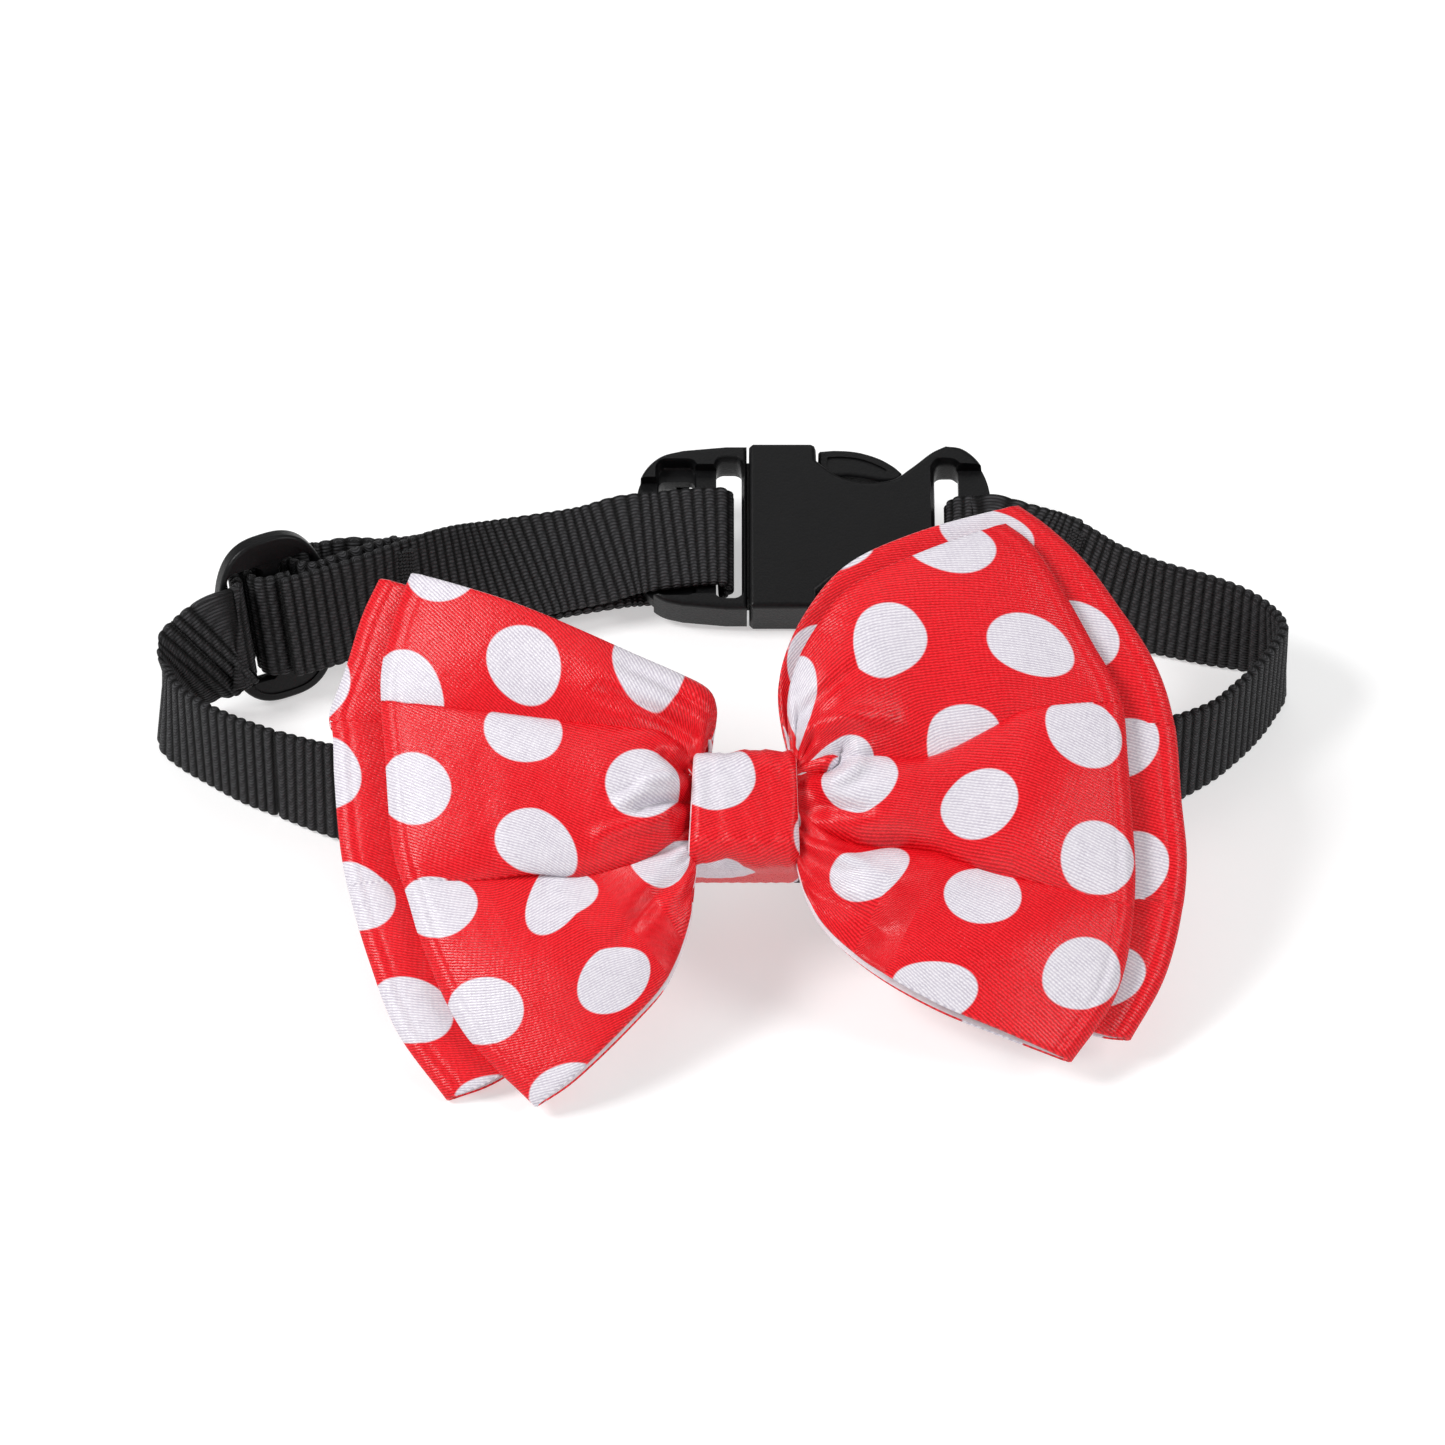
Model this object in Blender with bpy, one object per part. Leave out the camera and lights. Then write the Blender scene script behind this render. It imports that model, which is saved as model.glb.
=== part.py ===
"""Adjustable collar with a double satin bow tie, side-release buckle and tri-glide slider."""

import math

import bmesh
import bpy
import numpy as np

MM = 0.001
SHIFT = (-0.198, 15.947, -0.095)  # mm, puts the base centre on the origin

# Webbing
TAPE_WIDTH, TAPE_THICK = 15.0, 1.4
# Buckle
BUCKLE_WIDTH, BUCKLE_THICK = 24.3, 7.0
BUCKLE_CENTRE = (0.0, 28.28, 7.42)
BUCKLE_LEAN = 18.0
MOUTH_X, TAIL_END_X, FRAME_END_X = 3.6, 36.7, -11.8
# Slider
SLIDER_CENTRE = (-59.3, 7.1, 12.9)
SLIDER_HEADING, SLIDER_LEAN = 24.6, 75.6
SLIDER_LONG, SLIDER_SHORT, SLIDER_THICK = 26.0, 16.0, 2.4
# Bow
KNOT_CENTRE = (2.9, -36.4, 19.6)
BOW_LEAN = 30.0
CLOTH_THICK = 0.45
WAIST_HALF = 7.2
WRAP_THICK = 0.8


# ---------------------------------------------------------------- frames
def unit(v):
    v = np.asarray(v, float)
    return v / np.linalg.norm(v)


class Frame:
    """A local frame: along, across and normal directions from an origin, in mm."""

    def __init__(self, origin, along, across):
        self.origin = np.array(origin, float)
        self.along = unit(along)
        across = np.asarray(across, float)
        self.across = unit(across - across.dot(self.along) * self.along)
        self.normal = np.cross(self.along, self.across)

    def at(self, a, w, n):
        return self.origin + a * self.along + w * self.across + n * self.normal

    def points(self, local):
        local = np.asarray(local, float)
        return self.origin + local @ np.array([self.along, self.across, self.normal])


def lean_frame(origin, degrees):
    t = math.radians(degrees)
    return Frame(origin, (1, 0, 0), (0, math.cos(t), math.sin(t)))


BUCKLE = lean_frame(BUCKLE_CENTRE, BUCKLE_LEAN)
BOW = lean_frame(KNOT_CENTRE, BOW_LEAN)
_h, _p = math.radians(SLIDER_HEADING), math.radians(SLIDER_LEAN)
SLIDER = Frame(
    SLIDER_CENTRE,
    (math.cos(_h), math.sin(_h), 0),
    (-math.sin(_h) * math.cos(_p), math.cos(_h) * math.cos(_p), math.sin(_p)),
)


# ---------------------------------------------------------------- scene and materials
for thing in list(bpy.data.objects):
    bpy.data.objects.remove(thing, do_unlink=True)


def material(name, colour, roughness):
    m = bpy.data.materials.new(name)
    m.use_nodes = True
    shader = m.node_tree.nodes["Principled BSDF"]
    shader.inputs["Base Color"].default_value = (*colour, 1)
    shader.inputs["Roughness"].default_value = roughness
    return m


PLASTIC = material("black_acetal", (0.02, 0.02, 0.022), 0.45)
TAPE = material("black_webbing", (0.012, 0.012, 0.013), 0.9)
THREAD = material("black_thread", (0.015, 0.015, 0.015), 0.8)
SATIN = material("red_dotted_satin", (0.75, 0.015, 0.02), 0.35)
RED_THREAD = material("red_thread", (0.5, 0.01, 0.015), 0.7)


def from_mesh(name, vertices, faces, look, smooth=False):
    """An object from vertices in mm and faces, with its faces turned outwards."""
    mesh = bpy.data.meshes.new(name)
    moved = (np.asarray(vertices, float) + np.array(SHIFT)) * MM
    mesh.from_pydata([tuple(p) for p in moved], [], [tuple(f) for f in faces])
    bm = bmesh.new()
    bm.from_mesh(mesh)
    bmesh.ops.recalc_face_normals(bm, faces=bm.faces)
    if bm.calc_volume(signed=True) < 0:
        bmesh.ops.reverse_faces(bm, faces=bm.faces)
    bm.to_mesh(mesh)
    bm.free()
    mesh.materials.append(look)
    if smooth:
        mesh.shade_smooth()
    obj = bpy.data.objects.new(name, mesh)
    bpy.context.scene.collection.objects.link(obj)
    return obj


# ---------------------------------------------------------------- solids
def spline(points, per):
    """Catmull-Rom through points, with `per` samples in each span."""
    p = np.asarray(points, float)
    p = np.vstack([2 * p[0] - p[1], p, 2 * p[-1] - p[-2]])
    out = []
    for i in range(1, len(p) - 2):
        for t in np.arange(per) / per:
            a, b, c, d = p[i - 1 : i + 3]
            out.append(
                0.5
                * (
                    2 * b
                    + (c - a) * t
                    + (2 * a - 5 * b + 4 * c - d) * t**2
                    + (3 * b - a - 3 * c + d) * t**3
                )
            )
    out.append(p[-2])
    return np.array(out)


def even(points, count):
    """The polyline resampled at `count` evenly spaced points."""
    p = np.asarray(points, float)
    run = np.concatenate([[0], np.cumsum(np.linalg.norm(np.diff(p, axis=0), axis=1))])
    at = np.linspace(0, run[-1], count)
    return np.stack([np.interp(at, run, p[:, k]) for k in range(p.shape[1])], 1)


def tape(name, stations, step=3.0, thick=TAPE_THICK, look=TAPE):
    """Webbing through stations of (centre, width direction, width)."""
    rows = spline(
        [np.concatenate([p, unit(w), [size]]) for p, w, size in stations], 12
    )
    run = np.concatenate([[0], np.cumsum(np.linalg.norm(np.diff(rows[:, :3], axis=0), axis=1))])
    way = np.gradient(rows[:, :3], axis=0)
    way /= np.linalg.norm(way, axis=1)[:, None]
    turn = np.concatenate([[0], np.arccos(np.clip((way[1:] * way[:-1]).sum(1), -1, 1))])
    measure = run / step + np.cumsum(turn) / math.radians(14)
    count = max(3, int(round(measure[-1])) + 1)
    at = np.interp(np.linspace(0, measure[-1], count), measure, np.arange(len(rows)))
    rows = np.stack([np.interp(at, np.arange(len(rows)), rows[:, k]) for k in range(7)], 1)
    way = np.gradient(rows[:, :3], axis=0)
    section, points = 8, []
    for centre, t, w, size in zip(rows[:, :3], way, rows[:, 3:6], rows[:, 6]):
        t = unit(t)
        w = unit(w - w.dot(t) * t)
        n = np.cross(t, w)
        a, b, r = size / 2, thick / 2, thick * 0.3
        for x, y in (
            (a - r, b), (-a + r, b), (-a, b - r), (-a, -b + r),
            (-a + r, -b), (a - r, -b), (a, -b + r), (a, b - r),
        ):
            points.append(centre + x * w + y * n)
    faces = []
    for i in range(count - 1):
        for k in range(section):
            a, b = i * section + k, i * section + (k + 1) % section
            faces.append((a, b, b + section, a + section))
    faces.append(tuple(range(section)))
    faces.append(tuple((count - 1) * section + k for k in range(section)))
    return from_mesh(name, points, faces, look)


def inset(outline, amount):
    """The closed outline moved inwards (positive) by amount, for small amounts."""
    p = np.asarray(outline, float)
    before, after = np.roll(p, 1, axis=0), np.roll(p, -1, axis=0)
    area = 0.5 * (p[:, 0] * after[:, 1] - after[:, 0] * p[:, 1]).sum()
    e1, e2 = p - before, after - p
    e1 /= np.linalg.norm(e1, axis=1)[:, None]
    e2 /= np.linalg.norm(e2, axis=1)[:, None]
    n1 = np.stack([-e1[:, 1], e1[:, 0]], 1)
    n2 = np.stack([-e2[:, 1], e2[:, 0]], 1)
    mean = n1 + n2
    mean /= np.maximum((mean * n1).sum(1), 0.6)[:, None]
    return p + mean * amount * (1 if area > 0 else -1)


def prism(name, frame, outline, levels, look=PLASTIC, shape=None):
    """A closed outline in (along, across) stacked at levels of (normal, inset)."""
    rings, m = [], len(outline)
    for n, amount in levels:
        ring = np.column_stack([inset(outline, amount), np.full(m, n)])
        rings.append(shape(ring) if shape else ring)
    points = frame.points(np.vstack(rings))
    faces = []
    for i in range(len(levels) - 1):
        for k in range(m):
            a, b = i * m + k, i * m + (k + 1) % m
            faces.append((a, b, b + m, a + m))
    faces.append(tuple(range(m)))
    faces.append(tuple((len(levels) - 1) * m + k for k in range(m)))
    return from_mesh(name, points, faces, look)


def block(name, frame, low, high, bevel=0.0, look=PLASTIC):
    """A box between two local corners, with its outer edges bevelled."""
    (x0, y0, z0), (x1, y1, z1) = low, high
    outline = [(x0, y0), (x1, y0), (x1, y1), (x0, y1)]
    if bevel:
        b = bevel
        outline = [
            (x0 + b, y0), (x1 - b, y0), (x1, y0 + b), (x1, y1 - b),
            (x1 - b, y1), (x0 + b, y1), (x0, y1 - b), (x0, y0 + b),
        ]
        levels = [(z0, b), (z0 + b, 0), (z1 - b, 0), (z1, b)]
    else:
        levels = [(z0, 0), (z1, 0)]
    return prism(name, frame, outline, levels, look)


def rounded(x0, x1, half, radius, count=4):
    """A rounded rectangle from x0 to x1 and -half to half."""
    out = []
    for cx, cy, start in (
        (x1 - radius, half - radius, 0),
        (x0 + radius, half - radius, 90),
        (x0 + radius, -half + radius, 180),
        (x1 - radius, -half + radius, 270),
    ):
        for k in range(count + 1):
            t = math.radians(start + 90 * k / count)
            out.append((cx + radius * math.cos(t), cy + radius * math.sin(t)))
    return out


def combine(base, others, operation):
    """Base with the others joined to it or cut from it, as a plain mesh."""
    for other in others:
        other.hide_render = True
        other.display_type = "WIRE"
        m = base.modifiers.new("step", "BOOLEAN")
        m.operation, m.solver, m.object = operation, "EXACT", other
    bpy.context.view_layer.update()
    graph = bpy.context.evaluated_depsgraph_get()
    mesh = bpy.data.meshes.new_from_object(base.evaluated_get(graph))
    base.modifiers.clear()
    base.data = mesh
    for other in others:
        bpy.data.objects.remove(other, do_unlink=True)
    return base


def mirrored(points):
    """The outline's far half given from one end to the other, closed by its mirror image."""
    return list(points) + [(x, -y) for x, y in reversed(points) if abs(y) > 1e-6]


# ---------------------------------------------------------------- buckle, female half
HALF, FACE = BUCKLE_WIDTH / 2, BUCKLE_THICK / 2
RIM = [(-FACE, 0.75), (-FACE + 0.25, 0.3), (-FACE + 0.7, 0), (FACE - 0.7, 0), (FACE - 0.25, 0.3), (FACE, 0.75)]
CUT_OUT = [(12.75, 9.7), (15.6, 7.5), (19.4, 6.5), (23.1, 6.9), (25.7, 8.7), (28.4, 11.0), (30.4, 12.1)]
TAIL = [(30.4, 12.1), (32.6, 11.8), (34.6, 10.2), (35.9, 7.7), (36.5, 4.5)]


def female_outline():
    far = [(MOUTH_X + 0.5, HALF), (12.2, HALF), (12.7, HALF - 0.6)]
    far += [tuple(p) for p in spline(CUT_OUT, 3)]
    far += [tuple(p) for p in spline(TAIL, 2)[1:]]
    far.append((TAIL_END_X, 0.0))
    return mirrored([(MOUTH_X, HALF - 0.5)] + far)


def taper(ring):
    """Thins the tail end of the female half towards its bar."""
    ring = ring.copy()
    ring[:, 2] *= 1 - 0.2 * np.clip((ring[:, 0] - 25) / 9, 0, 1)
    return ring


female = prism("female_buckle_body", BUCKLE, female_outline(), RIM, shape=taper)
combine(
    female,
    [
        block("cut_mouth", BUCKLE, (MOUTH_X - 1, -10.5, -2.2), (13.5, 10.5, 2.2)),
        block("cut_arms", BUCKLE, (12.72, -14, -2.15), (25.6, 14, 2.15)),
        prism("cut_slot", BUCKLE, rounded(28.8, 32.1, 9.6, 1.0),
              [(-5, -0.9), (-2.6, -0.35), (-1.9, 0), (1.9, 0), (2.6, -0.35), (5, -0.9)]),
        prism("cut_bar_top", BUCKLE, rounded(30.3, 38.5, 9.15, 1.2), [(1.25, 0), (5, -0.6)]),
        prism("cut_bar_low", BUCKLE, rounded(30.3, 38.5, 9.15, 1.2), [(-5, -0.6), (-1.25, 0)]),
    ],
    "DIFFERENCE",
)

# ---------------------------------------------------------------- buckle, male half
FRAME_FAR = [(-5.4, 11.5), (-8.2, 10.7), (-10.2, 9.0), (-11.4, 6.6), (-11.8, 3.5)]
FRAME_HALF = 2.9
FRAME_RIM = [(-FRAME_HALF, 0.6), (-FRAME_HALF + 0.6, 0), (FRAME_HALF - 0.5, 0), (FRAME_HALF, 0.5)]
far_side = [(3.3, HALF - 0.1), (0.5, HALF - 0.1)] + [tuple(p) for p in spline(FRAME_FAR, 3)]
male = prism("male_buckle_frame", BUCKLE, mirrored(far_side), FRAME_RIM)


def slot_cutter(name, x0, x1, half, radius):
    levels = [(-5, -0.3), (-1.6, 0), (1.6, 0), (5, -0.3)]
    return prism(name, BUCKLE, rounded(x0, x1, half, radius), levels)


combine(
    male,
    [
        slot_cutter("cut_left_slot", -8.7, -3.75, 10.05, 0.9),
        slot_cutter("cut_right_slot", -0.85, 2.6, 10.25, 1.1),
        *(
            block(f"cut_bars_{k}", BUCKLE, (x0, w0, n0), (x1, w1, n1))
            for k, (x0, x1, w0, w1, n0, n1) in enumerate(
                (
                    (-13.5, -6.1, -9.95, 7.4, 1.0, 5.0),
                    (-13.5, -6.1, -9.95, 7.4, -5.0, -1.0),
                    (-6.3, 0.9, -9.9, 9.3, 1.02, 5.1),
                    (-6.3, 0.9, -9.9, 9.3, -5.1, -1.02),
                )
            )
        ),
    ],
    "DIFFERENCE",
)
combine(
    male,
    [
        block("plug", BUCKLE, (2.9, -10.1, -1.8), (6.4, 10.1, 1.8), 0.3),
        block("tongue", BUCKLE, (6.0, -1.8, -1.3), (20.5, 1.8, 1.3), 0.4),
    ],
    "UNION",
)

ARM_INNER = [(6.75, 7.2), (12.0, 7.7), (17.0, 8.2), (22.0, 7.4), (24.2, 7.6)]
ARM_OUTER = [(24.4, 8.6), (23.2, 9.7), (21.2, 10.9), (18.4, 11.8), (15.6, 12.05), (13.3, 11.9)]
for side, where in ((1, "rear"), (-1, "front")):
    outline = [tuple(p) for p in spline(ARM_INNER, 2)] + [tuple(p) for p in spline(ARM_OUTER, 2)]
    outline += [(13.05, 11.6), (13.05, 9.9), (12.4, 9.45), (6.75, 9.2)]
    prism(
        f"male_buckle_arm_{where}",
        BUCKLE,
        [(x, side * w) for x, w in outline],
        [(-1.8, 0.35), (-1.45, 0), (1.45, 0), (1.8, 0.35)],
    )

# ---------------------------------------------------------------- slider
a, b = SLIDER_SHORT / 2, SLIDER_LONG / 2
oval = []
for k in range(40):
    t = 2 * math.pi * k / 40
    c, s = math.cos(t), math.sin(t)
    oval.append((a * math.copysign(abs(c) ** 0.72, c), b * math.copysign(abs(s) ** 0.86, s)))
s_half = SLIDER_THICK / 2
slider = prism(
    "tri_glide_slider", SLIDER, oval,
    [(-s_half, 0.5), (-s_half + 0.5, 0), (s_half - 0.5, 0), (s_half, 0.5)],
)
combine(
    slider,
    [
        prism(f"cut_glide_{k}", SLIDER, rounded(x0, x1, 8.9, 1.2),
              [(-3, -0.5), (-0.7, 0), (0.7, 0), (3, -0.5)])
        for k, (x0, x1) in enumerate(((-5.9, -1.35), (1.35, 5.9)))
    ],
    "DIFFERENCE",
)

# ---------------------------------------------------------------- webbing
W_BUCKLE, W_SLIDER, W_BOW = BUCKLE.across, SLIDER.across, BOW.across
STRAP_DEPTH = -7.2  # mm behind the knot's centre plane, where the tape passes through the wrap


def knot_tape(x):
    return BOW.at(x - KNOT_CENTRE[0], 0, STRAP_DEPTH)


def ply(mid, offsets):
    """Stations beside a run of (centre, width direction), offset along its normal."""
    centres = np.array([m[0] for m in mid])
    ways = np.gradient(centres, axis=0)
    out = []
    for centre, t, (_, w), off in zip(centres, ways, mid, offsets):
        t = unit(t)
        w = unit(np.asarray(w) - np.dot(w, t) * t)
        out.append((centre + off * np.cross(t, w), w, TAPE_WIDTH))
    return out


FEMALE_RUN = [
    (BUCKLE.at(37.4, -2.0, 0.5), W_BUCKLE),
    ((42.2, 23.3, 7.4), (0, 0.86, 0.5)),
    ((46.6, 20.2, 8.1), (0, 0.66, 0.75)),
    ((51.2, 17.2, 8.1), (0.05, 0.4, 0.92)),
]
over = ply(FEMALE_RUN, (2.6, 1.2, 0.95, 0.8))
under = ply(FEMALE_RUN, (-2.5, -1.3, -0.9, -0.85))
narrow = TAPE_WIDTH - 1.4
fold = [
    (BUCKLE.at(x, -2.0, n), W_BUCKLE, narrow)
    for x, n in ((34.0, -2.5), (32.0, -2.3), (30.9, -1.0), (30.9, 1.0), (31.9, 2.5), (34.2, 2.9))
]
UP = (0, 0, 1)
neck = under[2:0:-1] + [(under[0][0], W_BUCKLE, narrow)] + fold
neck += [(over[0][0], W_BUCKLE, narrow)] + over[1:]
neck += [
    (c, w, TAPE_WIDTH)
    for c, w in (
        ((55.6, 14.9, 7.9), (0.05, 0.2, 0.98)),
        ((60.0, 13.3, 7.8), (0.03, 0.13, 0.99)),
        ((65.0, 11.6, 7.7), (0.0, 0.1, 1.0)),
        ((70.0, 9.6, 7.65), (-0.03, -0.02, 1.0)),
        ((73.4, 7.0, 7.6), (-0.06, -0.12, 1.0)),
        ((74.3, 3.6, 7.6), (-0.05, -0.1, 1.0)),
        ((72.8, 0.0, 7.6), UP),
        ((70.4, -4.0, 7.65), UP),
        ((67.2, -8.0, 7.65), UP),
        ((63.4, -11.8, 7.7), UP),
        ((56.5, -16.0, 8.0), (0, 0.12, 1.0)),
        ((46.0, -20.8, 8.9), (0, 0.3, 0.95)),
        ((35.0, -25.2, 10.3), (0, 0.55, 0.84)),
    )
]
KNOT_RUN = (22.0, 12.0, 3.0, -7.0, -16.0)
neck += [(knot_tape(x), W_BOW, TAPE_WIDTH) for x in KNOT_RUN]
neck += [
    (c, w, TAPE_WIDTH)
    for c, w in (
        ((-28.0, -29.2, 11.3), (0, 0.6, 0.8)),
        ((-40.0, -24.6, 9.0), (0, 0.34, 0.94)),
        ((-50.4, -20.6, 7.9), (0, 0.16, 0.98)),
        ((-58.0, -17.2, 7.7), (0, 0.05, 1.0)),
    )
]
tape("webbing_neck_run", neck)

LEFT_TURN = [
    ((-58.3, -17.05, 7.7), (0, 0.05, 1.0)),
    ((-63.0, -14.6, 7.65), (0, 0.03, 1.0)),
    ((-67.6, -11.5, 7.65), UP),
    ((-71.4, -8.2, 7.65), (0.05, 0, 1.0)),
    ((-73.4, -5.0, 7.75), (0.12, 0.0, 1.0)),
    ((-72.9, -1.9, 8.3), (0.1, -0.02, 1.0)),
    ((-70.6, 0.1, 9.6), (0.0, 0.05, 1.0)),
]
# The left turn runs into the return layer with a narrow gap between the two nodes.
RISE = np.array([LEFT_TURN[-1][0], SLIDER.at(-7.6, 0, 2.5)])
RISE_LEAN = (-0.06, 0.17, 0.97)
LEFT_TURN.append((RISE[0] + 0.40 * (RISE[1] - RISE[0]), RISE_LEAN))
tape("webbing_left_turn", [(c, w, TAPE_WIDTH) for c, w in LEFT_TURN], 2.2)

ADJUST_RUN = [
    (SLIDER.at(6.7, 0, 0), W_SLIDER),
    (SLIDER.at(11.5, 0, 0), W_SLIDER),
    ((-43.6, 13.9, 11.6), (-0.2, 0.38, 0.9)),
    ((-37.6, 16.5, 9.9), (-0.2, 0.62, 0.76)),
    ((-31.0, 19.6, 8.0), (-0.15, 0.86, 0.48)),
    ((-24.6, 22.6, 7.0), (-0.1, 0.93, 0.34)),
    ((-18.0, 24.6, 6.7), (-0.05, 0.95, 0.31)),
    (BUCKLE.at(-13.0, -2.2, 0.0), W_BUCKLE),
]
under_stations = ply(ADJUST_RUN, (-2.5, -1.7, -1.2, -1.1, -1.1, -1.0, -1.1, -1.9))
top_stations = ply(ADJUST_RUN, (4.0, 3.6, 2.7, 1.6, 1.2, 1.1, 1.1, 1.9))
end_stations = ply(ADJUST_RUN, (2.25, 1.75, 0.75, 0, 0, 0, 0, 0))[:3]


def glide(points):
    return [(SLIDER.at(x, 0, n), W_SLIDER, TAPE_WIDTH) for x, n in points]


def at_bar(points):
    return [
        (BUCKLE.at(x, w, n), W_BUCKLE, TAPE_WIDTH) for x, w, n in points
    ]


# The return layer: over the slider's left rail, down its left slot, under the run to the buckle.
into_slider = [(RISE[0] + 0.56 * (RISE[1] - RISE[0]), RISE_LEAN, TAPE_WIDTH)]
into_slider += glide(
    [(-7.6, 2.5), (-6.3, 2.45), (-5.1, 1.8), (-4.5, 0.1), (-4.3, -2.2), (-2.5, -4.0), (0.6, -4.4), (3.8, -3.7)]
)
tape(
    "webbing_adjust_return",
    into_slider + under_stations + at_bar([(-8.5, -1.7, -2.05), (-4.5, -1.2, -2.05), (-1.6, -1.0, -2.05)]),
    2.6,
)
# The top layer: from the slider's bar, over the right rail, round the buckle's middle bar.
bar_fold = at_bar(
    [(-8.5, -1.7, 2.05), (-4.5, -1.2, 2.05), (-1.6, -1.0, 2.05), (0.1, -0.95, 1.7),
     (0.85, -0.95, 0.6), (0.85, -0.95, -0.6), (0.1, -0.95, -1.7), (-0.8, -1.0, -2.05)]
)
tape("webbing_adjust_top", glide([(2.7, 2.85), (4.6, 3.6)]) + top_stations + bar_fold, 2.6)
end_loop = glide(
    [(5.2, 1.95), (4.0, 0.6), (3.1, -1.2), (1.6, -2.35), (-0.7, -2.4), (-2.3, -1.5), (-2.65, 0.0),
     (-2.2, 1.6), (-0.8, 2.4), (0.9, 2.45), (2.1, 2.62)]
)
tape("webbing_slider_end_loop", end_stations[::-1] + end_loop, 2.6)


# ---------------------------------------------------------------- bar tacks
def tack(name, centre, along, across, normal_offset, length, turns, look=THREAD):
    """A row of stitches lying across the tape: a plate with rounded ridges."""
    frame = Frame(centre, along, across)
    outline, pitch = [], 2.2 / turns
    for k in range(turns):
        x = -1.1 + k * pitch
        outline += [(x, 0.0), (x + 0.2 * pitch, 0.34), (x + 0.5 * pitch, 0.45), (x + 0.8 * pitch, 0.34)]
    outline.append((1.1, 0.0))
    outline += [(1.1, -0.15), (-1.1, -0.15)]
    points, m = [], len(outline)
    for w in (-length / 2, length / 2):
        points += [frame.at(x, w, normal_offset + n) for x, n in outline]
    faces = [(k, (k + 1) % m, (k + 1) % m + m, k + m) for k in range(m)]
    faces += [tuple(range(m)), tuple(range(m, 2 * m))]
    return from_mesh(name, points, faces, look)


def beside(stations, at, name, offset):
    centre, w, _ = stations[at]
    along = stations[at + 1][0] - stations[at - 1][0]
    return tack(name, centre, along, w, offset, 12.5, 5)


beside(over, 2, "bar_tack_female_end", TAPE_THICK / 2 + 0.6)
beside(top_stations, 2, "bar_tack_slider_end", TAPE_THICK / 2 + 0.6)

# ---------------------------------------------------------------- bow
# Each wing's outline beyond the wrap, in the bow's plane, from the knot's centre.
WINGS = {
    ("front", -1): (
        [(-6.9, 7.2), (-7.0, 12.5), (-8.2, 17.6), (-16, 21.9), (-28.8, 27.2), (-42.0, 32.0)],
        [(-44.2, 27.2), (-46.3, 18), (-45.8, 7.3), (-44.9, -4.6), (-40.4, -19.3), (-35.3, -29.2)],
        [(-6.9, -7.2), (-7.4, -13.9), (-9.9, -21.2), (-14.7, -27.2), (-21.8, -34.5), (-26.5, -38.0)],
    ),
    ("front", 1): (
        [(6.9, 7.2), (7.0, 14.0), (9.0, 24.2), (13.5, 29.9), (22.0, 33.8), (33.0, 38.3)],
        [(36.5, 35.9), (44.2, 23.2), (48.7, 7.3), (49.7, -8.6), (46.8, -24.6)],
        [(6.9, -7.2), (8.5, -12.0), (12.5, -17.0), (17.3, -20.6), (29.0, -27.0), (41.4, -32.3)],
    ),
    ("rear", -1): (
        [(-6.9, 7.2), (-7.4, 12.0), (-9.5, 17.0), (-17, 21.5), (-30.0, 26.4), (-46.0, 31.2)],
        [(-48.7, 26.6), (-52.3, 15.0), (-52.3, 4.6), (-51.5, -4.6), (-47.8, -19.3), (-43.4, -30.0)],
        [(-6.9, -7.2), (-8.0, -13.0), (-12.0, -20.0), (-20, -26.5), (-29.5, -33.5), (-37.5, -36.2)],
    ),
    ("rear", 1): (
        [(6.9, 7.2), (7.2, 15.0), (9.0, 25.0), (14.5, 32.0), (24.0, 36.4), (34.6, 40.3)],
        [(39.0, 38.0), (46.8, 28.6), (54.5, 12.6), (56.2, -6), (53.2, -21.9)],
        [(6.9, -7.2), (9.0, -12.0), (14.0, -17.0), (22.0, -21.4), (34.0, -26.2), (48.8, -30.0)],
    ),
}
# Heights of the face and the back above the bow's plane, at the waist and out in the wing.
LAYERS = {"front": ((4.7, 3.3), (7.0, 1.2)), "rear": ((1.3, -0.1), (-0.3, -3.2))}
PLEAT_DEPTH = 0.85


def smooth(t):
    t = np.clip(t, 0, 1)
    return t * t * (3 - 2 * t)


def wing(layer, side, columns, rows):
    """The wing's flat points, columns out from the waist by rows up: a Coons patch."""
    top, outer, low = WINGS[layer, side]
    v = (np.sin(np.linspace(-1, 1, rows) * math.pi / 2 * 0.6) / math.sin(math.pi * 0.3) + 1) / 2
    top, low = even(spline(top, 8), 400), even(spline(low, 8), 400)
    outer = even(spline([low[-1]] + list(outer)[::-1] + [top[-1]], 8), 400)
    u = 1 - (1 - np.linspace(0, 1, columns)) ** 1.35

    def pick(edge, t):
        return np.stack([np.interp(t, np.linspace(0, 1, 400), edge[:, k]) for k in (0, 1)], -1)

    waist = np.stack([np.full(rows, low[0, 0]), low[0, 1] + v * (top[0, 1] - low[0, 1])], 1)
    T, B, O = pick(top, u)[:, None], pick(low, u)[:, None], pick(outer, v)[None]
    U, V, W = u[:, None, None], v[None, :, None], waist[None]
    corners = (1 - U) * (1 - V) * low[0] + (1 - U) * V * top[0] + U * (1 - V) * low[-1] + U * V * top[-1]
    return (1 - V) * B + V * T + (1 - U) * W + U * O - corners, u, 2 * v - 1


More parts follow.
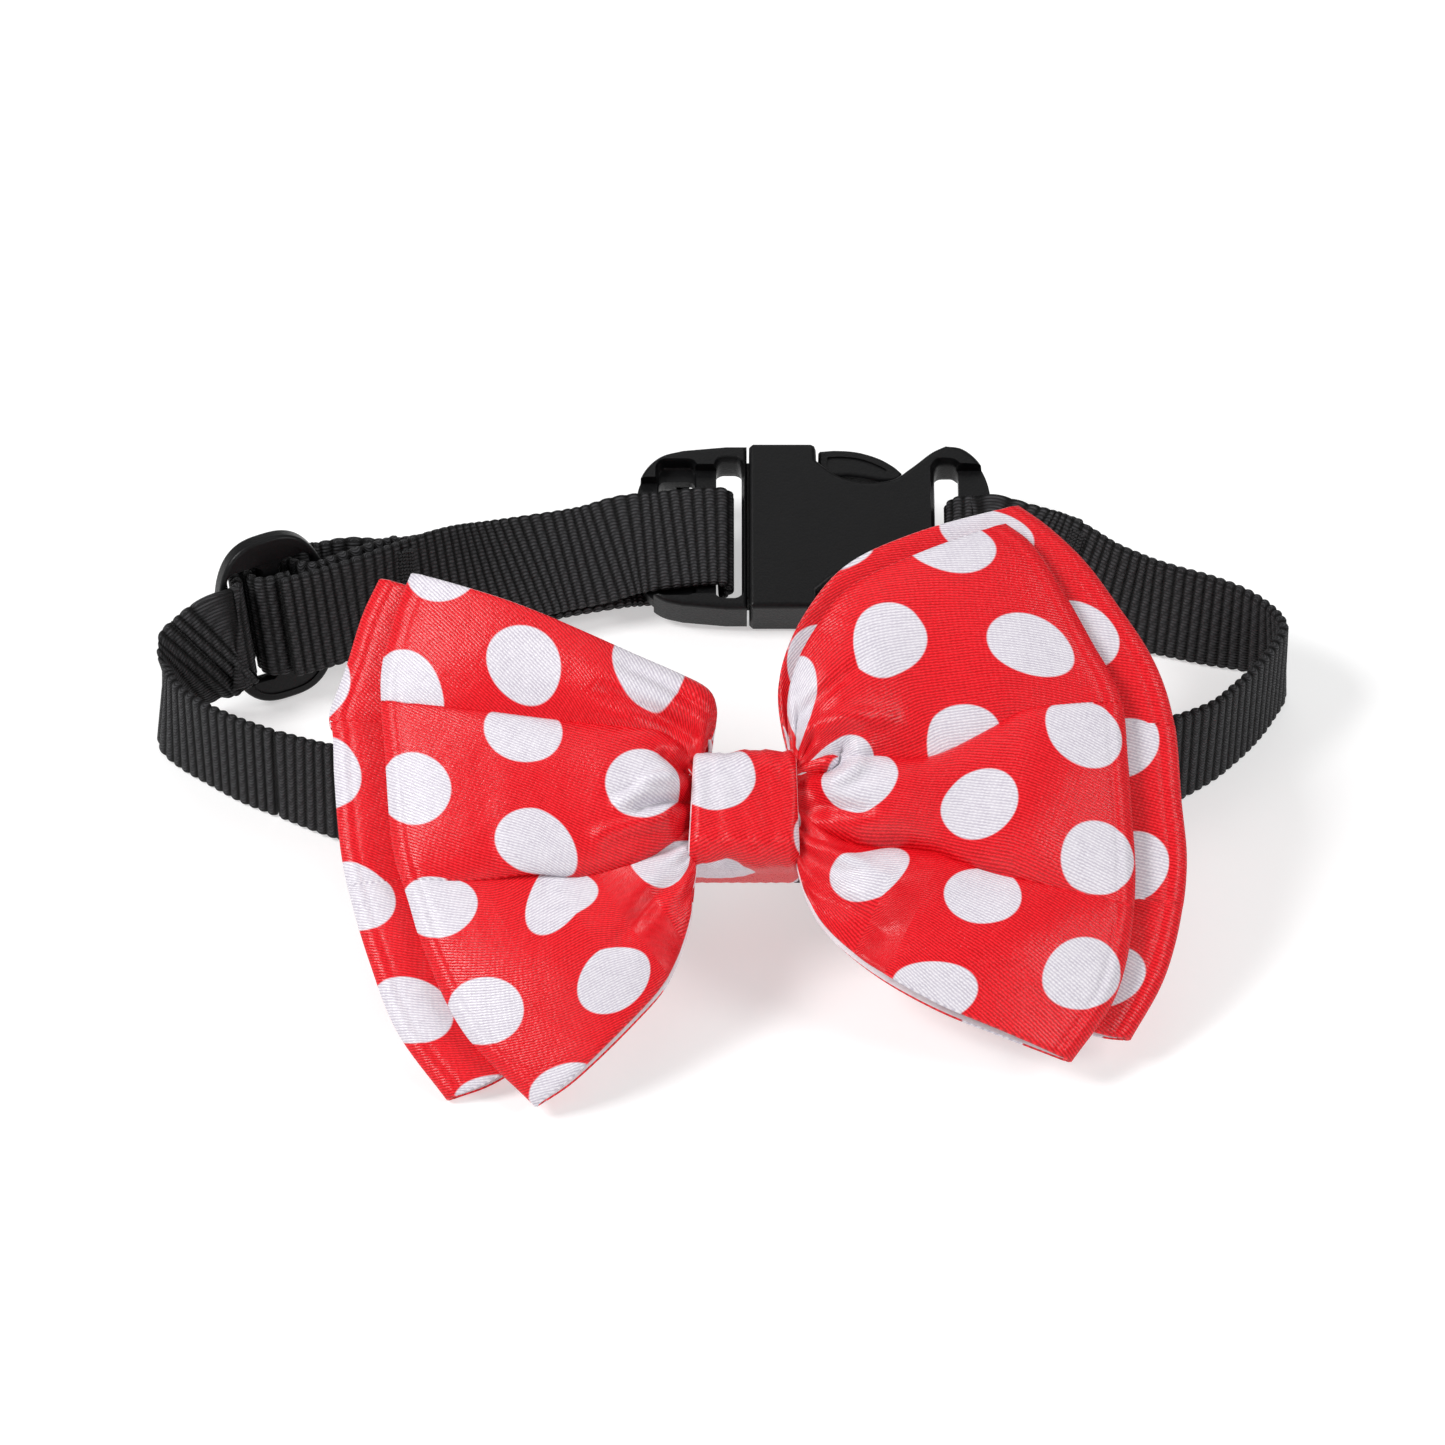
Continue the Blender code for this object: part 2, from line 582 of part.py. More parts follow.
def panel(layer, face, columns=11, rows=17):
    """One ply of a bow layer, tip to tip, as a closed skin of cloth thickness."""
    (waist_face, waist_back), (wing_face, wing_back) = LAYERS[layer]
    grid = []
    for side in (-1, 1):
        flat, u, v = wing(layer, side, columns, rows)
        grow, fade = smooth(u / 0.4)[:, None], (1 - smooth(u / 0.85))[:, None]
        rise = 1 - 0.25 * np.abs(v[None, :]) ** 3
        edge = np.sqrt(np.clip(1 - (np.clip(u - 0.86, 0, 1) / 0.14) ** 2, 0, 1))[:, None]
        middle = (waist_face + waist_back) / 2 * (1 - grow) + (wing_face + wing_back) / 2 * grow
        half = (waist_face - waist_back) / 2 * (1 - grow) + (wing_face - wing_back) / 2 * grow * rise
        half = np.maximum(half * edge, 0.55 if face == "face" else 0.3)
        height = middle + (half if face == "face" else -half)
        height = height + PLEAT_DEPTH * fade * np.cos(3 * math.pi * v)[None]
        height = height + 1.6 * np.clip(-flat[:, :, 1] / 38, 0, 1) ** 2
        sheet = np.concatenate([flat, height[:, :, None]], 2)
        grid.append(sheet[::-1] if side < 0 else sheet)
    grid = np.concatenate([grid[0], grid[1]])
    return skin(f"{layer}_bow_{face}", grid)


def skin(name, grid):
    """A grid of local points thickened to a closed sheet."""
    du, dv = np.gradient(grid, axis=0), np.gradient(grid, axis=1)
    n = np.cross(du, dv)
    n /= np.linalg.norm(n, axis=2)[:, :, None]
    n *= np.sign(n[:, :, 2:3]) * CLOTH_THICK / 2
    rows, cols = grid.shape[:2]
    points = np.concatenate([(grid + n).reshape(-1, 3), (grid - n).reshape(-1, 3)])
    low = rows * cols
    faces = []
    for i in range(rows - 1):
        for j in range(cols - 1):
            q = (i * cols + j, i * cols + j + 1, (i + 1) * cols + j + 1, (i + 1) * cols + j)
            faces += [q, tuple(k + low for k in reversed(q))]
    rim = [(i, 0) for i in range(rows)] + [(rows - 1, j) for j in range(1, cols)]
    rim += [(i, cols - 1) for i in range(rows - 2, -1, -1)] + [(0, j) for j in range(cols - 2, 0, -1)]
    rim = [i * cols + j for i, j in rim]
    faces += [(a, b, b + low, a + low) for a, b in zip(rim, rim[1:] + rim[:1])]
    return from_mesh(name, BOW.points(points), faces, SATIN)


for layer in ("front", "rear"):
    for face in ("face", "back"):
        panel(layer, face)


def ring(name, half_y, n_low, n_high, radius, thick, x_of, look, count=5):
    """A band round the waist: a rounded rectangle in the bow's cross-section."""
    def section(grow):
        out = []
        r, hy = radius + grow, half_y + grow
        lo, hi = n_low - grow, n_high + grow
        for cy, cn, start in ((hy - r, hi - r, 0), (-hy + r, hi - r, 90), (-hy + r, lo + r, 180), (hy - r, lo + r, 270)):
            for k in range(count + 1):
                t = math.radians(start + 90 * k / count)
                out.append((cy + r * math.cos(t), cn + r * math.sin(t)))
        return out

    inner, outer = section(0), section(thick)
    m, points = len(inner), []
    for end in (0, 1):
        for part in (inner, outer):
            points += [(x_of(y)[end], y, n) for y, n in part]
    faces = []
    for k in range(m):
        j = (k + 1) % m
        faces += [(k, j, j + 2 * m, k + 2 * m), (k + m, j + m, j + 3 * m, k + 3 * m)]
        faces += [(k, j, j + m, k + m), (k + 2 * m, j + 2 * m, j + 3 * m, k + 3 * m)]
    return from_mesh(name, BOW.points(points), faces, look)


WRAP_LOW, WRAP_HIGH = -8.5, 6.6
ring(
    "centre_wrap", 8.4, WRAP_LOW, WRAP_HIGH, 2.0, WRAP_THICK,
    lambda y: (-6.35 + 0.04 * y, 6.55 - 0.02 * y), SATIN,
)
ring("waist_gather_thread", WAIST_HALF + 0.4, -1.5, 6.0, 1.2, 0.35, lambda y: (-0.8, 0.8), RED_THREAD)
tack(
    "wrap_closing_stitch", BOW.at(0, 0, WRAP_LOW - WRAP_THICK - 0.5), (-1, 0, 0), W_BOW,
    0, 14.0, 5, RED_THREAD,
)
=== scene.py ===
"""Looks for the adjustable collar: ribbed webbing, moulded plastic and a double satin bow."""

import math

import bmesh
import bpy
import numpy as np
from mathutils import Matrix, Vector

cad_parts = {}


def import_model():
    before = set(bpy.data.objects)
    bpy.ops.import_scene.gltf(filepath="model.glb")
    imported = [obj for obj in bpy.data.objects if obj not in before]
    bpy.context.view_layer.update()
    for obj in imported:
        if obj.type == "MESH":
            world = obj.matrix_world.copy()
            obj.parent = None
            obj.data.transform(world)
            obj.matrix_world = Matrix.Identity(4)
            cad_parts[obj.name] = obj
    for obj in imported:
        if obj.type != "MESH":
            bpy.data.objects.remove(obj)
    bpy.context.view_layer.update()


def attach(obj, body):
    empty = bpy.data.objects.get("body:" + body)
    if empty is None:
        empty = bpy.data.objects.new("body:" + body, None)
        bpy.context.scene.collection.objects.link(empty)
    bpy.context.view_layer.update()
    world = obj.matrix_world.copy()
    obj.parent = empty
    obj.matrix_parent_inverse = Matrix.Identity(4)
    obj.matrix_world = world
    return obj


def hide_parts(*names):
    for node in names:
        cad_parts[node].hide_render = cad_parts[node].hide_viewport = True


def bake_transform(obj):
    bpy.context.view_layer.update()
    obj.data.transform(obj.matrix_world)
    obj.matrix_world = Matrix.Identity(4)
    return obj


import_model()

MM = 0.001
SHIFT = (-0.198, 15.947, -0.095)  # mm, from the layout's origin to the frame's

# Webbing
TAPE_WIDTH, TAPE_THICK = 15.0, 1.4
RIB, RIB_DEPTH, YARN = 1.4, 0.34, 0.5
# Buckle, slider and bow places, as in the CAD
BUCKLE_CENTRE, BUCKLE_LEAN = (0.0, 28.28, 7.42), 18.0
SLIDER_CENTRE, SLIDER_HEADING, SLIDER_LEAN = (-59.3, 7.1, 12.9), 24.6, 75.6
KNOT_CENTRE, BOW_LEAN = (2.9, -36.4, 19.6), 30.0
# The moulded pieces look a little wider (buckle) and shorter (slider) across the tape than the stock sizes.
BUCKLE_STRETCH, SLIDER_SQUEEZE = 1.04, 0.94
# Satin: the cloth's thickness, the turn at a pressed edge, and the print's dots
CLOTH, FOLD_RADIUS = 0.45, 0.42
DOT_RADIUS, DOT_PITCH = 4.95, 17.0
COLUMN = DOT_PITCH * math.sqrt(3) / 2


# ---------------------------------------------------------------- frames and curves
def unit(v):
    v = np.asarray(v, float)
    return v / np.linalg.norm(v)


class Frame:
    """A local frame: along, across and normal directions from an origin, in mm."""

    def __init__(self, origin, along, across):
        self.origin = np.array(origin, float)
        self.along = unit(along)
        across = np.asarray(across, float)
        self.across = unit(across - across.dot(self.along) * self.along)
        self.normal = np.cross(self.along, self.across)

    def at(self, a, w, n):
        return self.origin + a * self.along + w * self.across + n * self.normal

    def points(self, local):
        local = np.asarray(local, float)
        return self.origin + local @ np.array([self.along, self.across, self.normal])


def lean_frame(origin, degrees):
    t = math.radians(degrees)
    return Frame(origin, (1, 0, 0), (0, math.cos(t), math.sin(t)))


BUCKLE = lean_frame(BUCKLE_CENTRE, BUCKLE_LEAN)
BOW = lean_frame(KNOT_CENTRE, BOW_LEAN)
_h, _p = math.radians(SLIDER_HEADING), math.radians(SLIDER_LEAN)
SLIDER = Frame(
    SLIDER_CENTRE,
    (math.cos(_h), math.sin(_h), 0),
    (-math.sin(_h) * math.cos(_p), math.cos(_h) * math.cos(_p), math.sin(_p)),
)
BUCKLE.across = BUCKLE.across * BUCKLE_STRETCH
SLIDER.across = SLIDER.across * SLIDER_SQUEEZE


def world(points):
    """Layout points in mm as metres in the shared frame."""
    return (np.asarray(points, float) + np.array(SHIFT)) * MM


def smooth(t):
    t = np.clip(t, 0, 1)
    return t * t * (3 - 2 * t)


def spline(points, per):
    """Catmull-Rom through points, with `per` samples in each span."""
    p = np.asarray(points, float)
    p = np.vstack([2 * p[0] - p[1], p, 2 * p[-1] - p[-2]])
    t = (np.arange(per) / per)[:, None]
    out = []
    for i in range(1, len(p) - 2):
        a, b, c, d = p[i - 1 : i + 3]
        bend, twist = 2 * a - 5 * b + 4 * c - d, 3 * b - a - 3 * c + d
        out.append(0.5 * (2 * b + (c - a) * t + bend * t**2 + twist * t**3))
    out.append(p[-2][None])
    return np.vstack(out)


def run_of(points):
    """Distance along a polyline at each of its points, or down each column of a grid of points."""
    steps = np.linalg.norm(np.diff(points, axis=0), axis=-1)
    return np.concatenate([np.zeros_like(steps[:1]), np.cumsum(steps, axis=0)])


def turned(corners, radius, steps):
    """Points round a rounded rectangle's corners, each given by its centre and starting angle."""
    out = []
    for cx, cy, start in corners:
        for k in range(steps + 1):
            a = math.radians(start + 90 * k / steps)
            out.append((cx + radius * math.cos(a), cy + radius * math.sin(a)))
    return out


def at_fractions(points, fractions):
    """Points at the given fractions of a polyline's length."""
    run = run_of(points)
    return np.stack([np.interp(np.asarray(fractions) * run[-1], run, points[:, k])
                     for k in range(points.shape[1])], -1)


# ---------------------------------------------------------------- meshes
def make(name, vertices, faces, looks, uv=None, look_of=None, smooth_shading=True):
    """A mesh object from layout points in mm, with a UV per vertex and a material per face."""
    mesh = bpy.data.meshes.new(name)
    mesh.from_pydata(world(vertices).tolist(), [], faces)
    for look in looks:
        mesh.materials.append(look)
    if look_of is not None:
        mesh.polygons.foreach_set("material_index", np.asarray(look_of, np.int32))
    if uv is not None:
        layer = mesh.uv_layers.new(name="cloth")
        loops = np.empty(len(mesh.loops), np.int32)
        mesh.loops.foreach_get("vertex_index", loops)
        layer.data.foreach_set("uv", np.asarray(uv, np.float32)[loops].ravel())
    if smooth_shading:
        mesh.shade_smooth()
    mesh.validate()
    obj = bpy.data.objects.new(name, mesh)
    bpy.context.scene.collection.objects.link(obj)
    return obj


def grid_faces(rows, cols, start=0, closed=False, flip=False):
    """Quads over a grid of vertices, closed round the columns if asked."""
    i, j = np.meshgrid(np.arange(rows - 1), np.arange(cols if closed else cols - 1), indexing="ij")
    k = (j + 1) % cols
    quads = np.stack([i * cols + j, i * cols + k, (i + 1) * cols + k, (i + 1) * cols + j], -1)
    quads = quads.reshape(-1, 4) + start
    return (quads[:, ::-1] if flip else quads).tolist()


# ---------------------------------------------------------------- materials
class Nodes:
    """A short way to write a material's nodes."""

    def __init__(self, name):
        self.material = bpy.data.materials.new(name)
        self.material.use_nodes = True
        self.tree = self.material.node_tree
        self.shader = self.tree.nodes["Principled BSDF"]

    def add(self, kind, **settings):
        node = self.tree.nodes.new(kind)
        for key, value in settings.items():
            setattr(node, key, value)
        return node

    def put(self, value, socket):
        if isinstance(value, bpy.types.NodeSocket):
            self.tree.links.new(value, socket)
        else:
            socket.default_value = value

    def math(self, operation, *values):
        node = self.add("ShaderNodeMath", operation=operation)
        for k, value in enumerate(values):
            self.put(value, node.inputs[k])
        return node.outputs[0]

    def mix(self, factor, a, b):
        node = self.add("ShaderNodeMix", data_type="RGBA")
        self.put(factor, node.inputs["Factor"])
        for key, value in (("A", a), ("B", b)):
            socket = [s for s in node.inputs if s.name == key and s.type == "RGBA"][0]
            self.put(value if isinstance(value, bpy.types.NodeSocket) else (*value, 1), socket)
        return [s for s in node.outputs if s.type == "RGBA"][0]

    def remap(self, value, a, b, c, d):
        node = self.add("ShaderNodeMapRange")
        for k, v in enumerate((value, a, b, c, d)):
            self.put(v, node.inputs[k])
        return node.outputs[0]

    def noise(self, scale, detail):
        node = self.add("ShaderNodeTexNoise")
        node.inputs["Scale"].default_value = scale
        node.inputs["Detail"].default_value = detail
        self.put(self.add("ShaderNodeTexCoord").outputs["Object"], node.inputs["Vector"])
        return node.outputs["Fac"]

    def uv(self):
        node = self.add("ShaderNodeUVMap", uv_map="cloth")
        parts = self.add("ShaderNodeSeparateXYZ")
        self.put(node.outputs["UV"], parts.inputs[0])
        return parts.outputs["X"], parts.outputs["Y"]

    def bump(self, height, strength, distance):
        node = self.add("ShaderNodeBump")
        self.put(height, node.inputs["Height"])
        node.inputs["Strength"].default_value = strength
        node.inputs["Distance"].default_value = distance
        self.put(node.outputs["Normal"], self.shader.inputs["Normal"])

    def set(self, **values):
        for key, value in values.items():
            name = {"Base": "Base Color", "Specular": "Specular IOR Level"}.get(key, key.replace("_", " "))
            self.put(value, self.shader.inputs[name])


def wrapped(n, value, period, offset):
    """Signed distance to the nearest multiple of period, shifted by offset."""
    turns = n.math("FRACT", n.math("ADD", n.math("DIVIDE", n.math("ADD", value, offset), period), 100.5))
    return n.math("MULTIPLY", n.math("SUBTRACT", turns, 0.5), period)


def dot_mask(n, u, v):
    """1 inside the printed dots of a hexagonal lattice, 0 outside."""
    nearest = None
    for du, dv in ((0, 0), (COLUMN, DOT_PITCH / 2)):
        x, y = wrapped(n, u, 2 * COLUMN, du), wrapped(n, v, DOT_PITCH, dv)
        d = n.math("SQRT", n.math("ADD", n.math("MULTIPLY", x, x), n.math("MULTIPLY", y, y)))
        nearest = d if nearest is None else n.math("MINIMUM", nearest, d)
    return n.remap(nearest, DOT_RADIUS + 0.10, DOT_RADIUS - 0.10, 0, 1)


def ripple(n, value, pitch):
    """A soft wave from 0 to 1 along value."""
    wave = n.math("SINE", n.math("MULTIPLY", value, 2 * math.pi / pitch))
    return n.math("ADD", n.math("MULTIPLY", wave, 0.5), 0.5)


def humps(n, value, pitch):
    """Rounded humps from 0 to 1 along value, one to each pitch."""
    return n.math("ABSOLUTE", n.math("SINE", n.math("MULTIPLY", value, math.pi / pitch)))


def satin_look():
    n = Nodes("red_dotted_satin")
    u, v = n.uv()
    mask = dot_mask(n, u, v)
    wobble = n.math("MULTIPLY", n.noise(2600, 2), 0.26)
    lean = n.math("ADD", n.math("MULTIPLY", u, 0.42), n.math("MULTIPLY", v, 0.91))
    twill = ripple(n, n.math("ADD", lean, wobble), 0.40)
    square = n.math("SUBTRACT", n.math("MULTIPLY", u, 0.91), n.math("MULTIPLY", v, 0.42))
    floats = ripple(n, n.math("ADD", square, wobble), 0.62)
    slub = n.noise(900, 4)
    fine = n.noise(5200, 2)
    drape = n.noise(230, 3)
    # thread is the twill's woven pattern with painted sheen on its floats: along it the red and the white
    # are mixed towards bright lit colours.
    thread = n.math("MULTIPLY", twill, n.math("ADD", n.math("MULTIPLY", floats, 0.30), 0.70))
    red = n.mix(n.remap(slub, 0.3, 0.7, 0, 1), (0.44, 0.0008, 0.003), (0.56, 0.0018, 0.006))
    red = n.mix(thread, red, (0.98, 0.016, 0.028))
    white = n.mix(n.remap(slub, 0.3, 0.7, 0, 1), (0.50, 0.455, 0.535), (0.60, 0.56, 0.63))
    white = n.mix(thread, white, (0.86, 0.83, 0.87))
    n.set(Base=n.mix(mask, red, white), Specular=0.34)
    n.set(Roughness=n.remap(fine, 0.3, 0.7, 0.25, 0.36))
    weave = n.math("ADD", thread, n.math("MULTIPLY", fine, 0.4))
    n.bump(n.math("ADD", weave, n.math("MULTIPLY", drape, 4.6)), 0.5, 0.00008)
    return n.material


def lining_look():
    n = Nodes("satin_reverse")
    u, v = n.uv()
    weave = n.math("MULTIPLY", ripple(n, u, 0.4), ripple(n, v, 0.4))
    tint = n.remap(n.noise(500, 3), 0.3, 0.7, 0, 1)
    n.set(Base=n.mix(tint, (0.74, 0.62, 0.66), (0.82, 0.76, 0.79)))
    n.set(Roughness=n.remap(tint, 0, 1, 0.62, 0.72))
    n.bump(weave, 0.3, 0.00006)
    return n.material


def webbing_look():
    n = Nodes("black_ribbed_webbing")
    u, v = n.uv()
    column = n.math("FLOOR", n.math("DIVIDE", v, YARN))
    stagger = n.math("MULTIPLY", column, 0.35)
    across, along = humps(n, v, YARN), humps(n, n.math("ADD", u, stagger), RIB)
    yarn = n.math("MULTIPLY", across, n.math("ADD", n.math("MULTIPLY", along, 0.7), 0.3))
    fibre = n.noise(7000, 3)
    # Light catches the top of each rib; the grooves between ribs stay dark.
    lit = n.math("ADD", n.math("MULTIPLY", yarn, 0.75), n.math("MULTIPLY", fibre, 0.25))
    lit = n.math("MULTIPLY", lit, n.remap(humps(n, u, RIB), 0.30, 0.80, 0.03, 1.0))
    n.set(Base=n.mix(lit, (0.0008, 0.0008, 0.0009), (0.060, 0.060, 0.064)), Specular=0.24)
    n.set(Roughness=n.remap(fibre, 0.3, 0.7, 0.55, 0.8))
    n.bump(n.math("ADD", yarn, n.math("MULTIPLY", fibre, 0.35)), 0.9, 0.00022)
    return n.material


def plastic_look():
    n = Nodes("black_moulded_plastic")
    grain = n.noise(3800, 3)
    mottle = n.noise(160, 4)
    n.set(Base=n.mix(mottle, (0.0022, 0.0023, 0.0026), (0.0045, 0.0047, 0.0052)), Specular=0.22)
    n.set(Roughness=n.remap(grain, 0.3, 0.7, 0.30, 0.46))
    n.bump(n.math("ADD", grain, n.math("MULTIPLY", mottle, 0.4)), 0.5, 0.00007)
    return n.material


def thread_look(name, dark, light):
    n = Nodes(name)
    u, v = n.uv()
    twist = ripple(n, n.math("ADD", u, n.math("MULTIPLY", v, 0.5)), 0.5)
    n.set(Base=n.mix(twist, dark, light), Roughness=n.remap(n.noise(4000, 2), 0.3, 0.7, 0.5, 0.7))
    n.bump(twist, 0.6, 0.00006)
    return n.material


SATIN, LINING = satin_look(), lining_look()
WEBBING, PLASTIC = webbing_look(), plastic_look()
BLACK_THREAD = thread_look("black_thread", (0.006, 0.006, 0.007), (0.022, 0.022, 0.024))
RED_THREAD = thread_look("red_thread", (0.42, 0.008, 0.012), (0.62, 0.02, 0.025))


# ---------------------------------------------------------------- webbing
W_BUCKLE, W_SLIDER, W_BOW = BUCKLE.across, SLIDER.across, BOW.across
STRAP_DEPTH = -7.2
UP = (0, 0, 1)
RIB_STEPS, FACE_STEPS, EDGE_RIPPLE = 8, 15, 0.12


def tape_section(half_width, half_thick, rib):
    """The webbing's cross-section: (across, normal) round two ribbed faces and two rolled edges."""
    edge = 0.62 * half_thick
    lift = half_thick - RIB_DEPTH * (1 - rib)
    w = np.linspace(half_width - edge, -half_width + edge, FACE_STEPS)
    top = [(x, lift) for x in w]
    turn = np.radians((30, 60, 90, 120, 150))
    left = [(-half_width + edge - edge * math.sin(a), lift * math.cos(a)) for a in turn]
    low = [(x, -lift) for x in w[::-1]]
    right = [(half_width - edge + edge * math.sin(a), -lift * math.cos(a)) for a in turn]
    return top + left + low + right


def tape(name, stations):
    """Ribbed webbing through stations of (centre, width direction, width)."""
    rows = spline([np.concatenate([p, unit(w), [size]]) for p, w, size in stations], 24)
    run = run_of(rows[:, :3])
    count = int(run[-1] / RIB * RIB_STEPS) + 1
    at = np.linspace(0, run[-1], count)
    rows = np.stack([np.interp(at, run, column) for column in rows.T], 1)
    way = np.gradient(rows[:, :3], axis=0)
    points, uv = [], []
    for s, centre, t, w, size in zip(at, rows[:, :3], way, rows[:, 3:6], rows[:, 6]):
        t = unit(t)
        w = unit(w - w.dot(t) * t)
        n = np.cross(t, w)
        rib = abs(math.sin(math.pi * s / RIB)) ** 0.75
        half = size / 2 - EDGE_RIPPLE + EDGE_RIPPLE * rib
        section = np.array(tape_section(half, TAPE_THICK / 2, rib))
        points.append(centre + section[:, :1] * w + section[:, 1:] * n)
        uv.append(np.stack([np.full(len(section), s), run_of(section)], 1))
    ring = len(points[0])
    faces = grid_faces(count, ring, closed=True)
    last = (count - 1) * ring
    faces.append(list(range(ring))[::-1])
    faces.append([last + k for k in range(ring)])
    obj = make(name, np.vstack(points), faces, [WEBBING], np.vstack(uv))
    fix_normals(obj)
    return obj


def fix_normals(obj):
    """Turns the closed mesh's faces outwards."""
    bm = bmesh.new()
    bm.from_mesh(obj.data)
    bmesh.ops.recalc_face_normals(bm, faces=bm.faces)
    if bm.calc_volume(signed=True) < 0:
        bmesh.ops.reverse_faces(bm, faces=bm.faces)
    bm.to_mesh(obj.data)
    bm.free()


def ply(mid, offsets):
    """Stations beside a run of (centre, width direction), offset along its normal."""
    centres = np.array([m[0] for m in mid])
    ways = np.gradient(centres, axis=0)
    out = []
    for centre, t, (_, w), off in zip(centres, ways, mid, offsets):
        t = unit(t)
        w = unit(np.asarray(w) - np.dot(w, t) * t)
        out.append((centre + off * np.cross(t, w), w, TAPE_WIDTH))
    return out


def full_width(run):
    """Stations of the tape's full width from a run of (centre, width direction)."""
    return [(centre, w, TAPE_WIDTH) for centre, w in run]


def knot_tape(x):
    return BOW.at(x - KNOT_CENTRE[0], 0, STRAP_DEPTH)


# The tape is squeezed a little where it passes through the wrap.
KNOT_RUN = ((22.0, 15.0), (12.0, 14.3), (3.0, 13.0), (-7.0, 14.3), (-16.0, 15.0))
FEMALE_RUN = [
    (BUCKLE.at(37.4, -2.0, 0.5), W_BUCKLE),
    ((42.2, 23.3, 7.4), (0, 0.86, 0.5)),
    ((46.6, 20.2, 8.1), (0, 0.66, 0.75)),
    ((51.2, 17.2, 8.1), (0.05, 0.4, 0.92)),
]
over = ply(FEMALE_RUN, (2.6, 1.2, 0.95, 0.8))
under = ply(FEMALE_RUN, (-2.5, -1.3, -0.9, -0.85))
narrow = TAPE_WIDTH - 1.4
fold = [
    (BUCKLE.at(x, -2.0, n), W_BUCKLE, narrow)
    for x, n in ((34.0, -2.5), (32.0, -2.3), (30.9, -1.0), (30.9, 1.0), (31.9, 2.5), (34.2, 2.9))
]
neck = under[2:0:-1] + [(under[0][0], W_BUCKLE, narrow)] + fold
neck += [(over[0][0], W_BUCKLE, narrow)] + over[1:]
neck += full_width([
    ((55.6, 14.9, 7.9), (0.05, 0.2, 0.98)),
    ((60.0, 13.3, 7.8), (0.03, 0.13, 0.99)),
    ((65.0, 11.6, 7.7), (0.0, 0.1, 1.0)),
    ((70.0, 9.6, 7.65), (-0.03, -0.02, 1.0)),
    ((73.4, 7.0, 7.6), (-0.06, -0.12, 1.0)),
    ((74.3, 3.6, 7.6), (-0.05, -0.1, 1.0)),
    ((72.8, 0.0, 7.6), UP),
    ((70.4, -4.0, 7.65), UP),
    ((67.2, -8.0, 7.65), UP),
    ((63.4, -11.8, 7.7), UP),
    ((56.5, -16.0, 8.0), (0, 0.12, 1.0)),
    ((46.0, -20.8, 8.9), (0, 0.3, 0.95)),
    ((35.0, -25.2, 10.3), (0, 0.55, 0.84)),
])
neck += [(knot_tape(x), W_BOW, size) for x, size in KNOT_RUN]
neck += full_width([
    ((-28.0, -29.2, 11.3), (0, 0.6, 0.8)),
    ((-40.0, -24.6, 9.0), (0, 0.34, 0.94)),
    ((-50.4, -20.6, 7.9), (0, 0.16, 0.98)),
    ((-58.0, -17.2, 7.7), (0, 0.05, 1.0)),
])

LEFT_TURN = [
    ((-58.3, -17.05, 7.7), (0, 0.05, 1.0)),
    ((-63.0, -14.6, 7.65), (0, 0.03, 1.0)),
    ((-67.6, -11.5, 7.65), UP),
    ((-71.4, -8.2, 7.65), (0.05, 0, 1.0)),
    ((-73.4, -5.0, 7.75), (0.12, 0.0, 1.0)),
    ((-72.9, -1.9, 8.3), (0.1, -0.02, 1.0)),
    ((-70.6, 0.1, 9.6), (0.0, 0.05, 1.0)),
]
RISE = np.array([LEFT_TURN[-1][0], SLIDER.at(-7.6, 0, 2.5)])
RISE_LEAN = (-0.06, 0.17, 0.97)
SPLIT = 0.48  # where the left turn meets the return layer, as a share of the rise
LEFT_TURN.append((RISE[0] + SPLIT * (RISE[1] - RISE[0]), RISE_LEAN))

ADJUST_RUN = [
    (SLIDER.at(6.7, 0, 0), W_SLIDER),
    (SLIDER.at(11.5, 0, 0), W_SLIDER),
    ((-43.6, 13.9, 11.6), (-0.2, 0.38, 0.9)),
    ((-37.6, 16.5, 9.9), (-0.2, 0.62, 0.76)),
    ((-31.0, 19.6, 8.0), (-0.15, 0.86, 0.48)),
    ((-24.6, 22.6, 7.0), (-0.1, 0.93, 0.34)),
    ((-18.0, 24.6, 6.7), (-0.05, 0.95, 0.31)),
    (BUCKLE.at(-13.0, -2.2, 0.0), W_BUCKLE),
]
# The slider holds the two layers apart, and the return layer is pushed to the tape's lower side there.
under_stations = ply(ADJUST_RUN, (-4.0, -3.9, -3.0, -2.3, -1.5, -1.0, -1.1, -1.9))
under_stations[:4] = [(c - drop * unit(w), w, size)
                      for (c, w, size), drop in zip(under_stations, (0.8, 1.4, 1.4, 0.6))]
top_stations = ply(ADJUST_RUN, (4.25, 4.1, 3.6, 2.9, 1.8, 1.1, 1.1, 1.9))
end_stations = ply(ADJUST_RUN, (2.25, 1.75, 0.75, 0))[:3]


def glide(points):
    """Stations at (along, normal) places of the slider."""
    return [(SLIDER.at(x, 0, n), W_SLIDER, TAPE_WIDTH) for x, n in points]


def at_bar(points):
    """Stations at (along, across, normal) places of the buckle."""
    return [(BUCKLE.at(x, w, n), W_BUCKLE, TAPE_WIDTH) for x, w, n in points]


